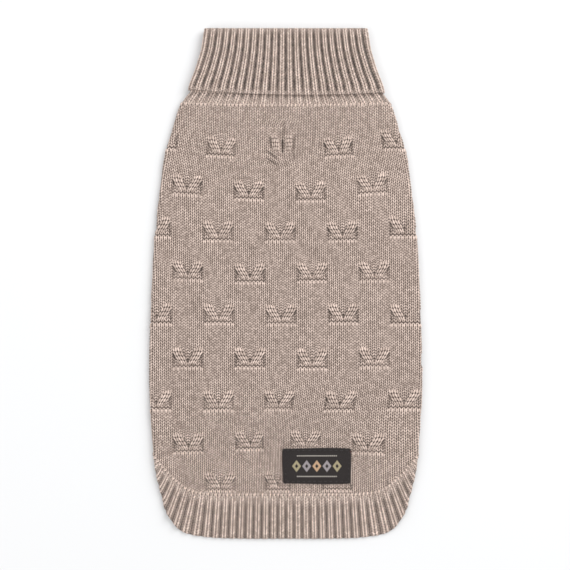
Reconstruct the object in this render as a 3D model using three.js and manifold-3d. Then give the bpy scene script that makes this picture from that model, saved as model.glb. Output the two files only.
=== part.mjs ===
// A knitted dog sweater with a turned-down roll collar, laid out flat on its belly side.
// It is made the way a knitter cuts and links it: one back panel that wraps round both sides,
// a belly panel between its edges, ribbed bands at both hems and both leg holes, a ribbed
// collar folded over on itself, and a woven label.
//
// Millimetres. +X runs across the garment, +Y towards the neck and +Z up. The origin is on
// the surface the garment lies on, at the middle of its outline.

import * as THREE from "three";
import Module from "manifold-3d";
import { mergeVertices } from "three/addons/utils/BufferGeometryUtils.js";

const wasm = await Module();
wasm.setup();

// Driving sizes of the whole garment
const LENGTH = 409; // from the hem's rim to the collar's fold
const WALL = 2.2; // the knitted cloth
const LAYER_GAP = 0.5; // air between the back and the layer under it
const SEAM_GAP = 0.3; // between pieces that are sewn together
const SLANT_GAP = 0.55; // the same gap, measured along Y where the hem's seam slants
const HEM_Y = -LENGTH / 2;
const FOLD_Y = LENGTH / 2;

// Where the collar is linked to the body, and where the turned-down cuff ends. Both edges
// dip a little towards the tail at the middle of the back.
const NECK_SIDE_Y = 143.9;
const NECK_DIP = 1.5;
const CUFF_SIDE_Y = 154;
const CUFF_DIP = 2.8;

// Height of the flattened body: at its middle, at its side folds, and at the neck
const SIDE_HEIGHT = 6;
const NECK_HEIGHT = 6.6;
const NECK_RISE_FROM_Y = 104;
const NECK_RISE_TO_Y = 140;
const SIDE_SOFT = 16; // how far in from a side fold the back swells
const TUCK_FROM_Y = -150; // towards the hem the side folds are pressed down to two layers
const TUCK_RUN = 22;

// Half of the body's laid width, neck to tail
const OUTLINE = [
  { y: 156, half: 78 },
  { y: 141, half: 85.6 },
  { y: 122, half: 91.5 },
  { y: 102, half: 97.4 },
  { y: 83, half: 99.8 },
  { y: 45, half: 104.6 },
  { y: 0, half: 107.4 },
  { y: -50, half: 109.2 },
  { y: -90, half: 109.2 },
  { y: -120, half: 107.4 },
  { y: -148, half: 105 },
  { y: -166, half: 101 },
  { y: -178, half: 98 },
  { y: -210, half: 96 },
];

// Half of the turned-down cuff's laid width, fold to edge
const CUFF_OUTLINE = [
  { y: 205, half: 65.2 },
  { y: 198, half: 66.2 },
  { y: 188, half: 67.8 },
  { y: 179, half: 70.3 },
  { y: 169, half: 73.6 },
  { y: 160, half: 77.2 },
  { y: 154, half: 79 },
];

// The hem band on the flat cut, from the centre back round to the belly: where its ribs
// leave the panel and where they end at the rim. "out" is measured along the cloth from the
// centre back, so past the side fold it counts on along the underside.
const HEM_BAND = [
  { seamOut: 0, seamY: -168.8, rimOut: 0, rimY: HEM_Y },
  { seamOut: 32, seamY: -168.8, rimOut: 33, rimY: HEM_Y },
  { seamOut: 60, seamY: -168.4, rimOut: 63, rimY: -203.2 },
  { seamOut: 76, seamY: -165.4, rimOut: 84.5, rimY: -197.8 },
  { seamOut: 88.5, seamY: -156.8, rimOut: 98.5, rimY: -180 },
  { seamOut: 99.8, seamY: -144.8, rimOut: 112, rimY: -168 },
  { seamOut: 112, seamY: -128.6, rimOut: 129, rimY: -152 },
  { seamOut: 128, seamY: -109, rimOut: 144, rimY: -130 },
  { seamOut: 145, seamY: -89, rimOut: 154, rimY: -112 },
];

// Half of the belly panel's width, neck to hem: the side seams run along its edges
const BELLY = [
  { y: 152, half: 34 },
  { y: 120, half: 42 },
  { y: 88, half: 48 },
  { y: 50, half: 54 },
  { y: 10, half: 57 },
  { y: -71, half: 57 },
  { y: -110, half: 57 },
];
const BELLY_BAND_Y = -71;
const BELLY_HEM_Y = -101;

// How far towards the tail something still lies under the back, out from the middle
const UNDER_REACH = [
  { out: 0, y: -107 },
  { out: 56, y: -108 },
  { out: 64, y: -126 },
  { out: 71, y: -145 },
  { out: 79, y: -163 },
  { out: 88, y: -178 },
  { out: 110, y: -196 },
];
const DROP_RUN = 38; // the back comes down to the surface over this length

// Leg holes: an oval on each side seam, with a ribbed band round it
const LEG_HOLE = { x: 48, y: 88, halfWide: 17, halfLong: 28, band: 10, segments: 28 };

// Small cables: two strands that part upwards from a short purl ridge, in half-drop rows
const CABLE_ROWS = 9;
const CABLE_ROW_PITCH = 33.8;
const CABLE_FIRST_Y = 103.2; // the foot of the row nearest the neck
const CABLE_REPEAT = 49.8;
const CABLE_CENTRE_X = -2.6;

// The wales draw together towards the neck, and lean to one side over the whole back
const NECK_DRAW = { share: 0.08, fromY: 70, run: 60 };
const KNIT_LEAN = [
  { y: 120, by: -2.2 },
  { y: 70, by: -2.2 },
  { y: 36, by: -1.8 },
  { y: 2, by: -1.2 },
  { y: -66, by: -1.2 },
  { y: -100, by: -1.5 },
  { y: -133, by: -0.6 },
  { y: -167, by: 0 },
];

// Above the label the cloth is pulled a little to one side, most over its middle
const LABEL_PULL = { by: 6, fromY: -70, run: 60, fromOut: -30, riseRun: 50, toOut: 120, fallRun: 50 };

// One half of a cable, outwards from its middle and upwards from its foot
const CABLE_POINTS = [
  { out: 0, up: 0, lift: 0 },
  { out: 6, up: 0, lift: 0 },
  { out: 11.6, up: 0.6, lift: 0 },
  { out: 0, up: 1.7, lift: 0.8 },
  { out: 5.6, up: 1.7, lift: 0.8 },
  { out: 10.8, up: 2, lift: 0.7 },
  { out: 0, up: 3.5, lift: 0.1 },
  { out: 4.6, up: 3.4, lift: 0.2 },
  { out: 9.2, up: 4, lift: -0.3 },
  { out: 1.5, up: 5.4, lift: 1.1 },
  { out: 5.4, up: 5.2, lift: 1 },
  { out: 7.4, up: 6.4, lift: 0 },
  { out: 0, up: 6.8, lift: -0.4 },
  { out: 10.9, up: 7.2, lift: -0.5 },
  { out: 3.9, up: 9.4, lift: 1.2 },
  { out: 7.5, up: 9.4, lift: 1.1 },
  { out: 1.7, up: 10, lift: -0.2 },
  { out: 9.6, up: 10.6, lift: 0 },
  { out: 5.9, up: 13.6, lift: 0.8 },
  { out: 9.2, up: 13.8, lift: 0.8 },
  { out: 0, up: 13, lift: -0.3 },
  { out: 3.8, up: 14.2, lift: -0.1 },
  { out: 11.4, up: 14.6, lift: 0 },
  { out: 7, up: 18.2, lift: 0.1 },
  { out: 10.4, up: 18, lift: 0.1 },
  { out: 2.4, up: 18.4, lift: 0 },
];

// Ribs of the collar and the hem bands
const RIB_LIFT = 0.8;
const COLLAR_RIBS = 22; // across the back of the collar
const HEM_RIB_PITCH = 6.3;
const RIB_PHASES = [
  { at: 0.14, high: 0 },
  { at: 0.34, high: 1 },
  { at: 0.66, high: 1 },
  { at: 0.86, high: 0 },
];

// The slit for a lead, in the back just behind the collar
const LEAD_SLIT = { x: -2.4, y: 110.4, halfWide: 0.9, halfLong: 5.6, segments: 6 };

// The woven label near the hem
const LABEL = { x: 25.3, y: -145.8, wide: 54, long: 28.4, thick: 0.9 };

// Points of the back's fine side and of its plain inside
const FINE_FILLING = { pitch: 13, room: 5 };
const PLAIN_FILLING = { pitch: 16, room: 9 };
const SHAPED_CLEAR = 3; // least distance of a cable's point from the cut edge
const SHAPED_ROOM = 6.5; // and of a filling point from a cable's
const LABEL_CLEAR = 1.5;
const FILLING_REACH = { x: 110, y: 200 };

const MERGE_MM = 1e-4;

const colours = {
  knit: 0xb8a598,
  rib: 0xb3a093,
  label: 0x2a2523,
};

// A smooth step from 0 to 1
function ease(t) {
  const k = Math.min(1, Math.max(0, t));
  return k * k * (3 - 2 * k);
}

// A smooth curve through a table's rows, read at one column
function along(table, key, value, at) {
  const rows = table[0][key] < table.at(-1)[key] ? table : [...table].reverse();
  const last = rows.length - 1;
  if (at <= rows[0][key]) return rows[0][value];
  if (at >= rows[last][key]) return rows[last][value];
  const i = rows.findIndex((row, k) => k < last && at <= rows[k + 1][key]);
  const slope = (k) => {
    const a = rows[Math.max(0, k - 1)];
    const b = rows[Math.min(last, k + 1)];
    return (b[value] - a[value]) / (b[key] - a[key]);
  };
  const run = rows[i + 1][key] - rows[i][key];
  const t = (at - rows[i][key]) / run;
  const t2 = t * t;
  const t3 = t2 * t;
  return (
    (2 * t3 - 3 * t2 + 1) * rows[i][value] +
    (t3 - 2 * t2 + t) * run * slope(i) +
    (3 * t2 - 2 * t3) * rows[i + 1][value] +
    (t3 - t2) * run * slope(i + 1)
  );
}

const bellyHalf = (y) => along(BELLY, "y", "half", y);
const neckRise = (y) => ease((y - NECK_RISE_FROM_Y) / (NECK_RISE_TO_Y - NECK_RISE_FROM_Y));

// The side fold at one height: its outer radius, its middle line and where the back starts
function sideFold(y) {
  const tuck = ease((TUCK_FROM_Y - y) / TUCK_RUN) * (SIDE_HEIGHT - 2 * WALL - SEAM_GAP);
  const height = SIDE_HEIGHT + neckRise(y) * (NECK_HEIGHT - SIDE_HEIGHT) - tuck;
  const radius = height / 2;
  const middle = radius - WALL / 2;
  return { height, radius, turn: Math.PI * middle, start: along(OUTLINE, "y", "half", y) - radius };
}

// How far the back has come down to the surface behind the layers under it
function backDrop(x, y) {
  return ease((along(UNDER_REACH, "out", "y", Math.abs(x)) - y) / DROP_RUN);
}

// A point of the body's cloth. "out" runs along the cloth from the centre back, "deep" goes
// in from its outer face, and "lift" stands out of it.
function onBody(out, y, deep = 0, lift = 0) {
  const side = Math.sign(out) || 1;
  const fold = sideFold(y);
  const past = Math.abs(out) - fold.start;
  const offset = lift - deep;
  if (past > fold.turn) {
    return new THREE.Vector3(side * (fold.start - past + fold.turn), y, -offset);
  }
  let x = Math.abs(out);
  let z;
  if (past <= 0) {
    const middle = 2 * WALL + LAYER_GAP + neckRise(y) * (NECK_HEIGHT - 2 * WALL - LAYER_GAP);
    const swell = ease((past + SIDE_SOFT) / SIDE_SOFT);
    z = middle + (fold.height - middle) * swell + offset;
  } else {
    const angle = (past / fold.turn) * Math.PI;
    x = fold.start + (fold.radius + offset) * Math.sin(angle);
    z = fold.radius + (fold.radius + offset) * Math.cos(angle);
  }
  const lying = WALL - deep + lift;
  if (past < fold.turn / 2) z = lying + (z - lying) * (1 - backDrop(x, y));
  return new THREE.Vector3(side * x, y, z);
}

// How far out along the cloth the side seam runs, on the underside
function sideSeamOut(y) {
  const fold = sideFold(y);
  return 2 * fold.start + fold.turn - bellyHalf(y) - SEAM_GAP / 2;
}

// The hem band's two edges at a share of its length, 0 at the centre back and 1 at the belly
function hemCurve(outKey, yKey, endY) {
  const points = HEM_BAND.map((row) => new THREE.Vector2(row[outKey], row[yKey]));
  return new THREE.SplineCurve([...points, new THREE.Vector2(sideSeamOut(endY), endY)]);
}
const hemSeam = hemCurve("seamOut", "seamY", BELLY_BAND_Y);
const hemRim = hemCurve("rimOut", "rimY", BELLY_HEM_Y);
const HEM_STEPS = 400;
const hemTable = Array.from({ length: HEM_STEPS + 1 }, (unused, i) => {
  const share = i / HEM_STEPS;
  return { share, seam: hemSeam.getPoint(share), rim: hemRim.getPoint(share), run: 0 };
});
for (let i = 1; i <= HEM_STEPS; i++) {
  hemTable[i].run = hemTable[i - 1].run + hemTable[i].seam.distanceTo(hemTable[i - 1].seam);
}
const HEM_HALF_RUN = hemTable[HEM_STEPS].run;

// Seam and rim points where the seam has run this far from the centre back
function hemAt(run) {
  const far = Math.min(Math.abs(run), HEM_HALF_RUN - 1e-6);
  const i = hemTable.findIndex((row, k) => k < HEM_STEPS && hemTable[k + 1].run > far);
  const t = (far - hemTable[i].run) / (hemTable[i + 1].run - hemTable[i].run);
  const share = hemTable[i].share + t / HEM_STEPS;
  const side = Math.sign(run) || 1;
  const seam = hemSeam.getPoint(share);
  const rim = hemRim.getPoint(share);
  seam.x *= side;
  rim.x *= side;
  return { seam, rim };
}

// Height of the hem's seam where the cloth has run this far out
function seamYAt(out) {
  const far = Math.abs(out);
  const i = hemTable.findIndex((row, k) => k < HEM_STEPS && hemTable[k + 1].seam.x >= far);
  if (i < 0) return hemTable[HEM_STEPS].seam.y;
  const a = hemTable[i].seam;
  const b = hemTable[i + 1].seam;
  return a.y + ((far - a.x) / (b.x - a.x)) * (b.y - a.y);
}

// A closed surface under construction: points, triangles and ways to join rows of points
class Surface {
  constructor() {
    this.points = [];
    this.faces = [];
  }
  add(point) {
    return this.points.push(point) - 1;
  }
  addRow(points) {
    return points.map((point) => this.add(point));
  }
  strip(near, far) {
    for (let i = 0; i + 1 < near.length; i++) {
      this.faces.push([near[i], near[i + 1], far[i + 1]], [near[i], far[i + 1], far[i]]);
    }
  }
  // Joins two rows whose points stand at different places along them
  zip(near, nearAt, far, farAt) {
    let i = 0;
    let j = 0;
    while (i + 1 < near.length || j + 1 < far.length) {
      const nearNext = i + 1 < near.length ? nearAt[i + 1] : Infinity;
      const farNext = j + 1 < far.length ? farAt[j + 1] : Infinity;
      if (nearNext <= farNext) this.faces.push([near[i], near[++i], far[j]]);
      else this.faces.push([near[i], far[j + 1], far[j++]]);
    }
  }
  geometry() {
    const geometry = new THREE.BufferGeometry();
    const flat = this.points.flatMap((p) => [p.x, p.y, p.z]);
    geometry.setAttribute("position", new THREE.Float32BufferAttribute(flat, 3));
    geometry.setIndex(this.faces.flat());
    return geometry;
  }
}

// Triangles between scattered points, none of which lies in another's circle
function delaunay(points) {
  const far = 1e4;
  const all = [...points, { x: -far, y: -far }, { x: far, y: -far }, { x: 0, y: far }];
  const circled = (a, b, c) => {
    const [p, q, r] = [all[a], all[b], all[c]];
    const d = 2 * (p.x * (q.y - r.y) + q.x * (r.y - p.y) + r.x * (p.y - q.y));
    const pp = p.x * p.x + p.y * p.y;
    const qq = q.x * q.x + q.y * q.y;
    const rr = r.x * r.x + r.y * r.y;
    const x = (pp * (q.y - r.y) + qq * (r.y - p.y) + rr * (p.y - q.y)) / d;
    const y = (pp * (r.x - q.x) + qq * (p.x - r.x) + rr * (q.x - p.x)) / d;
    return { corners: [a, b, c], x, y, reach: (p.x - x) ** 2 + (p.y - y) ** 2 };
  };
  let triangles = [circled(points.length, points.length + 1, points.length + 2)];
  points.forEach((point, index) => {
    const rim = new Map();
    triangles = triangles.filter((t) => {
      if ((point.x - t.x) ** 2 + (point.y - t.y) ** 2 >= t.reach - 1e-7) return true;
      t.corners.forEach((corner, k) => {
        const next = t.corners[(k + 1) % 3];
        const back = next + "," + corner;
        if (rim.has(back)) rim.delete(back);
        else rim.set(corner + "," + next, [corner, next]);
      });
      return false;
    });
    for (const [a, b] of rim.values()) triangles.push(circled(a, b, index));
  });
  return triangles.map((t) => t.corners).filter((t) => t.every((i) => i < points.length));
}

// True if a point lies in a polygon
function inside(polygon, x, y) {
  let within = false;
  polygon.forEach((a, i) => {
    const b = polygon[(i + 1) % polygon.length];
    if (a.y > y !== b.y > y && x < ((b.x - a.x) * (y - a.y)) / (b.y - a.y) + a.x) within = !within;
  });
  return within;
}

function distanceTo(polygon, x, y) {
  let least = Infinity;
  polygon.forEach((a, i) => {
    const b = polygon[(i + 1) % polygon.length];
    const run = { x: b.x - a.x, y: b.y - a.y };
    const t = ((x - a.x) * run.x + (y - a.y) * run.y) / (run.x ** 2 + run.y ** 2);
    const k = Math.min(1, Math.max(0, t));
    least = Math.min(least, Math.hypot(x - a.x - k * run.x, y - a.y - k * run.y));
  });
  return least;
}

function solidOf(geometry) {
  const bare = geometry.clone();
  bare.deleteAttribute("normal");
  bare.deleteAttribute("uv");
  const merged = mergeVertices(bare, MERGE_MM);
  return new wasm.Manifold(
    new wasm.Mesh({
      numProp: 3,
      vertProperties: merged.attributes.position.array,
      triVerts: new Uint32Array(merged.index.array),
    }),
  );
}

function geometryOf(solid) {
  const mesh = solid.getMesh();
  const geometry = new THREE.BufferGeometry();
  geometry.setAttribute("position", new THREE.Float32BufferAttribute(mesh.vertProperties, 3));
  geometry.setIndex([...mesh.triVerts]);
  return geometry;
}

// An upright prism over an oval, to cut openings with
function ovalPrism({ x, y, halfWide, halfLong }, low, high, segments) {
  const oval = new THREE.Shape();
  oval.absellipse(x, y, halfWide, halfLong, 0, 2 * Math.PI);
  const prism = new THREE.ExtrudeGeometry(oval, {
    depth: high - low,
    bevelEnabled: false,
    curveSegments: segments,
  });
  return solidOf(prism.translate(0, 0, low));
}

function legHoleCut(side) {
  const grow = LEG_HOLE.band + SEAM_GAP;
  const oval = {
    x: side * LEG_HOLE.x,
    y: LEG_HOLE.y,
    halfWide: LEG_HOLE.halfWide + grow,
    halfLong: LEG_HOLE.halfLong + grow,
  };
  return ovalPrism(oval, -WALL, WALL + LAYER_GAP / 2, LEG_HOLE.segments);
}

// Where one of the knitting's wales lies
function knitX(across, y) {
  const draw = 1 - NECK_DRAW.share * ease((y - NECK_DRAW.fromY) / NECK_DRAW.run);
  const pull =
    LABEL_PULL.by *
    ease((LABEL_PULL.fromY - y) / LABEL_PULL.run) *
    ease((across - LABEL_PULL.fromOut) / LABEL_PULL.riseRun) *
    ease((LABEL_PULL.toOut - across) / LABEL_PULL.fallRun);
  return CABLE_CENTRE_X + along(KNIT_LEAN, "y", "by", y) + across * draw - pull;
}

// The middle foot of each cable on the back
function cableFeet() {
  const feet = [];
  for (let row = 0; row < CABLE_ROWS; row++) {
    const y = CABLE_FIRST_Y - row * CABLE_ROW_PITCH;
    const half = row % 2 ? CABLE_REPEAT / 2 : 0;
    for (let k = -3; k <= 3; k++) feet.push({ across: half + k * CABLE_REPEAT, y });
  }
  return feet;
}

function underLabel(x, y, margin) {
  return (
    Math.abs(x - LABEL.x) < LABEL.wide / 2 + margin &&
    Math.abs(y - LABEL.y) < LABEL.long / 2 + margin
  );
}

// The label's own grid, shared with the back panel under it
function labelGrid() {
  const columns = 7;
  const rows = 4;
  return Array.from({ length: rows + 1 }, (unusedRow, r) =>
    Array.from({ length: columns + 1 }, (unused, c) => ({
      x: LABEL.x + (c / columns - 0.5) * LABEL.wide,
      y: LABEL.y + (r / rows - 0.5) * LABEL.long,
    })),
  );
}

// Back panel: wraps round both side folds to the side seams on the underside
function backPanel() {
  const rows = 22;
  const foldSteps = 6;
  const returnSteps = 6;
  const neckSteps = 16;
  const tailSteps = 26;
  const tailTries = 12;
  const surface = new Surface();

  // Cloth distance out from the centre back, column by column round a side
  const outAt = (column, y) => {
    const fold = sideFold(y);
    if (column <= foldSteps) return fold.start + (column / foldSteps) * fold.turn;
    const back = fold.start - bellyHalf(y) - SEAM_GAP / 2;
    return fold.start + fold.turn + ((column - foldSteps) / returnSteps) * back;
  };
  const tailY = (column) => {
    let y = LABEL.y;
    for (let k = 0; k < tailTries; k++) y = (y + seamYAt(outAt(column, y)) + SLANT_GAP) / 2;
    return y;
  };
  const sides = [1, -1].map((side) => {
    const outer = [];
    const inner = [];
    for (let j = 0; j <= rows; j++) {
      const outerRow = [];
      const innerRow = [];
      for (let i = 0; i <= foldSteps + returnSteps; i++) {
        const top = NECK_SIDE_Y - SEAM_GAP / 2;
        const y = top + (j / rows) * (tailY(i) - top);
        outerRow.push(surface.add(onBody(side * outAt(i, y), y)));
        innerRow.push(surface.add(onBody(side * outAt(i, y), y, WALL)));
      }
      outer.push(outerRow);
      inner.push(innerRow);
    }
    for (let j = 0; j < rows; j++) {
      const [near, far] = side > 0 ? [outer[j + 1], outer[j]] : [outer[j], outer[j + 1]];
      surface.strip(near, far);
      const [low, high] = side > 0 ? [inner[j], inner[j + 1]] : [inner[j + 1], inner[j]];
      surface.strip(low, high);
    }
    return { outer, inner };
  });
  const [right, left] = sides;

  // The neck and tail edges of the flat part, between the two folds
  const neckEdge = [];
  const reach = sideFold(NECK_SIDE_Y).start;
  for (let k = 1; k < neckSteps; k++) {
    const x = reach * ((2 * k) / neckSteps - 1);
    neckEdge.push({ x, y: NECK_SIDE_Y - SEAM_GAP / 2 - NECK_DIP * (1 - (x / reach) ** 2) });
  }
  const tailEdge = [];
  const corner = right.outer[rows][0];
  const cornerX = surface.points[corner].x;
  for (let k = 1; k < tailSteps; k++) {
    const x = cornerX * Math.sin((0.5 - k / tailSteps) * Math.PI);
    tailEdge.push({ x, y: seamYAt(x) + SLANT_GAP });
  }

  // Once round the flat part, as pairs of outer and inner points
  const pairAt = (p) => ({
    outer: surface.add(onBody(p.x, p.y)),
    inner: surface.add(onBody(p.x, p.y, WALL)),
  });
  const column = (half, i) =>
    half.outer.map((row, j) => ({ outer: row[i], inner: half.inner[j][i] }));
  const row = (half, j) => half.outer[j].map((p, i) => ({ outer: p, inner: half.inner[j][i] }));
  const tailPairs = tailEdge.map(pairAt);
  const neckPairs = neckEdge.map(pairAt);
  const ring = [
    ...column(right, 0),
    ...tailPairs,
    ...column(left, 0).reverse(),
    ...neckPairs,
  ];
  const polygon = ring.map((pair) => surface.points[pair.outer]);

  // Scattered points: cables, the label's grid, and a plain filling between them
  const shaped = [];
  for (const foot of cableFeet()) {
    for (const spot of CABLE_POINTS) {
      for (const side of spot.out ? [1, -1] : [1]) {
        const y = foot.y + spot.up;
        const x = knitX(foot.across, y) + side * spot.out;
        if (!inside(polygon, x, y) || underLabel(x, y, LABEL_CLEAR)) continue;
        const margin = distanceTo(polygon, x, y);
        if (margin < SHAPED_CLEAR) continue;
        shaped.push({ x, y, lift: spot.lift * ease(margin / (2 * SHAPED_CLEAR)) });
      }
    }
  }
  for (const spot of labelGrid().flat()) shaped.push({ ...spot, lift: 0 });
  const filling = ({ pitch, room }, around) => {
    const found = [];
    const rise = (pitch * Math.sqrt(3)) / 2;
    for (let k = 0; k * rise < 2 * FILLING_REACH.y; k++) {
      const y = k * rise - FILLING_REACH.y;
      for (let x = (k % 2) * (pitch / 2) - FILLING_REACH.x; x < FILLING_REACH.x; x += pitch) {
        if (!inside(polygon, x, y) || distanceTo(polygon, x, y) < room) continue;
        if (around.some((s) => Math.hypot(s.x - x, s.y - y) < SHAPED_ROOM)) continue;
        found.push({ x, y, lift: 0 });
      }
    }
    return found;
  };
  const cover = (scattered, deep, flip) => {
    const edge = ring.map((pair) => surface.points[pair.outer]);
    const known = ring.map((pair) => (deep ? pair.inner : pair.outer));
    const index = [...known];
    for (const s of scattered) index.push(surface.add(onBody(s.x, s.y, deep, s.lift)));
    const flat = [...edge, ...scattered].map((p) => ({ x: p.x, y: p.y }));
    for (const [a, b, c] of delaunay(flat)) {
      const x = (flat[a].x + flat[b].x + flat[c].x) / 3;
      const y = (flat[a].y + flat[b].y + flat[c].y) / 3;
      if (!inside(polygon, x, y)) continue;
      surface.faces.push(flip ? [index[a], index[c], index[b]] : [index[a], index[b], index[c]]);
    }
  };
  cover([...shaped, ...filling(FINE_FILLING, shaped)], 0, false);
  cover(filling(PLAIN_FILLING, []), WALL, true);

  // The cut edge all round: neck, side seams and tail
  const last = foldSteps + returnSteps;
  const edge = [
    ...row(right, 0),
    ...column(right, last).slice(1),
    ...row(right, rows).reverse().slice(1),
    ...tailPairs,
    ...row(left, rows),
    ...column(left, last).reverse().slice(1),
    ...row(left, 0).reverse().slice(1),
    ...neckPairs,
  ];
  edge.push(edge[0]);
  surface.strip(
    edge.map((pair) => pair.outer),
    edge.map((pair) => pair.inner),
  );

  const slit = ovalPrism(LEAD_SLIT, WALL + LAYER_GAP / 2, 2 * NECK_HEIGHT, LEAD_SLIT.segments);
  return geometryOf(
    solidOf(surface.geometry()).subtract(legHoleCut(1)).subtract(legHoleCut(-1)).subtract(slit),
  );
}

// Hem band: ribs that fan round both corners of the back and on along the underside
function hemBand() {
  const outerShares = [0, 0.2, 0.4, 0.6, 0.8, 1];
  const innerShares = [0, 0.5, 1];
  const flatFrom = 0.4; // of the way round the side fold the ribs flatten, over this much
  const flatRun = 0.3;
  const ribs = 2 * Math.round(HEM_HALF_RUN / HEM_RIB_PITCH);
  const pitch = (2 * HEM_HALF_RUN) / ribs;
  const surface = new Surface();

  const outerAt = [{ run: -HEM_HALF_RUN, high: 0 }];
  const innerAt = [{ run: -HEM_HALF_RUN }];
  for (let k = 0; k < ribs; k++) {
    for (const phase of RIB_PHASES) {
      outerAt.push({ run: -HEM_HALF_RUN + (k + phase.at) * pitch, high: phase.high });
    }
    innerAt.push({ run: -HEM_HALF_RUN + (k + 0.5) * pitch });
    innerAt.push({ run: -HEM_HALF_RUN + (k + 1) * pitch });
  }
  outerAt.push({ run: HEM_HALF_RUN, high: 0 });

  // The ribs stand out of the back and flatten where the band turns under
  const pointAt = (run, share, deep, high) => {
    const { seam, rim } = hemAt(run);
    const out = seam.x + (rim.x - seam.x) * share;
    const y = seam.y + (rim.y - seam.y) * share;
    const fold = sideFold(y);
    const under = ease((Math.abs(out) - fold.start - flatFrom * fold.turn) / (flatRun * fold.turn));
    return onBody(out, y, deep, high * RIB_LIFT * (1 - under));
  };
  const outer = outerShares.map((share) =>
    surface.addRow(outerAt.map((p) => pointAt(p.run, share, 0, p.high))),
  );
  const inner = innerShares.map((share) =>
    surface.addRow(innerAt.map((p) => pointAt(p.run, share, WALL, 0))),
  );
  for (let v = 0; v + 1 < outer.length; v++) surface.strip(outer[v + 1], outer[v]);
  for (let v = 0; v + 1 < inner.length; v++) surface.strip(inner[v], inner[v + 1]);
  const outerRuns = outerAt.map((p) => p.run);
  const innerRuns = innerAt.map((p) => p.run);
  surface.zip(outer[0], outerRuns, inner[0], innerRuns);
  surface.zip(inner.at(-1), innerRuns, outer.at(-1), outerRuns);
  const end = (rows, first) => rows.map((row) => (first ? row[0] : row.at(-1)));
  surface.zip(end(inner, true), innerShares, end(outer, true), outerShares);
  surface.zip(end(outer, false), outerShares, end(inner, false), innerShares);
  return surface.geometry();
}

// Collar: a ribbed tube, pressed flat and folded over outwards on itself
function collar() {
  const surface = new Surface();
  const plainSteps = 8;
  const turnShares = [0.25, 0.5, 0.75];
  const turnRun = 0.2; // of a side's turn, where the laid width counts one

  // One turn round the collar at a share of the way from an edge up to the fold
  const ring = ({ edgeY, dip, share, inset, low, high, ribs }) => {
    const radius = (high - low) / 2;
    const sideY = edgeY + (FOLD_Y - edgeY) * share;
    const across = [];
    if (ribs) {
      for (let k = 0; k < COLLAR_RIBS; k++) {
        for (const phase of RIB_PHASES) {
          across.push({ at: (k + phase.at) / COLLAR_RIBS, lift: phase.high * ribs });
        }
      }
    } else {
      for (let k = 0; k <= plainSteps; k++) across.push({ at: k / plainSteps, lift: 0 });
    }
    const points = [];
    const at = [];
    const put = (x, y, z, place) => {
      points.push(surface.add(new THREE.Vector3(x, y, z)));
      at.push(place);
    };
    for (const { at: place, lift } of across) {
      const a = 2 * place - 1;
      const y = sideY - dip * (1 - a * a) * (1 - share);
      put(a * (collarHalf(y) - inset - radius), y, high + lift, place);
    }
    const arc = (side, from) => {
      for (const turn of turnShares) {
        const angle = Math.PI * (side > 0 ? turn : 1 - turn);
        const bulge = radius + (turn === 0.5 ? ribs : 0);
        const x = collarHalf(sideY) - inset - radius + bulge * Math.sin(angle);
        put(side * x, sideY, (high + low) / 2 + radius * Math.cos(angle), from + turn * turnRun);
      }
    };
    arc(1, 1);
    for (let k = 0; k <= plainSteps; k++) {
      const a = 1 - (2 * k) / plainSteps;
      put(a * (collarHalf(sideY) - inset - radius), sideY, low, 1 + turnRun + k / plainSteps);
    }
    arc(-1, 2 + turnRun);
    points.push(points[0]);
    at.push(2 + 2 * turnRun + at[0]);
    return { points, at };
  };

  // Heights of the flattened tube inside the cuff, and of the cuff round it
  const cuffHigh = 4 * WALL + 3 * SEAM_GAP;
  const tubeLow = WALL + SEAM_GAP;
  const tubeHigh = cuffHigh - tubeLow;
  const tubeInset = WALL + SEAM_GAP;
  const middle = cuffHigh / 2;
  const seamY = NECK_SIDE_Y + SEAM_GAP / 2;
  const peek = (CUFF_SIDE_Y - seamY) / (FOLD_Y - seamY);
  const round = (cuffHigh - tubeLow) / 2 / (FOLD_Y - CUFF_SIDE_Y);
  const neck = { edgeY: seamY, dip: NECK_DIP, ribs: 0 };
  const turned = { edgeY: CUFF_SIDE_Y, dip: CUFF_DIP, ribs: 0 };
  const tube = { ...neck, inset: tubeInset, low: tubeLow, high: tubeHigh };
  const hollow = {
    ...neck,
    inset: tubeInset + WALL,
    low: middle - SEAM_GAP / 2,
    high: middle + SEAM_GAP / 2,
  };
  const cuff = { ...turned, inset: 0, low: 0, high: cuffHigh, ribs: RIB_LIFT };
  const lining = { ...turned, inset: WALL, low: WALL, high: cuffHigh - WALL };
  const pressed = (by) => ({ inset: by, low: by, high: cuffHigh - by });
  const atSeam = { share: 0, low: 0, high: NECK_HEIGHT };
  const halfUnder = { share: 0.5 * peek, inset: 0.4 * tubeInset, low: 0.4 * tubeLow };
  const under = 0.97 * peek; // just short of the cuff's edge
  const rings = [
    { ...tube, ...atSeam, inset: 0, ribs: 0.5 * RIB_LIFT },
    { ...tube, ...halfUnder, ribs: 0.5 * RIB_LIFT },
    { ...tube, share: under, ribs: 0.1 * RIB_LIFT },
    { ...tube, share: 1 - 1.1 * round },
    { ...lining, share: 1 - 1.1 * round },
    { ...lining, share: 0 },
    { ...cuff, share: 0 },
    { ...cuff, share: 0.25 },
    { ...cuff, share: 0.5 },
    { ...cuff, share: 0.75 },
    { ...cuff, share: 1 - round },
    { ...cuff, share: 1 - 0.3 * round, ...pressed(0.7), ribs: 0.6 * RIB_LIFT },
    { ...cuff, share: 1, ...pressed(2), ribs: 0 },
    { ...hollow, share: 1 - 0.4 * round },
    { ...hollow, share: under },
    { ...hollow, ...atSeam, inset: WALL, low: WALL, high: NECK_HEIGHT - WALL },
  ].map(ring);
  rings.forEach((one, i) => {
    const next = rings[(i + 1) % rings.length];
    surface.zip(one.points, one.at, next.points, next.at);
  });
  return surface.geometry();
}

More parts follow.
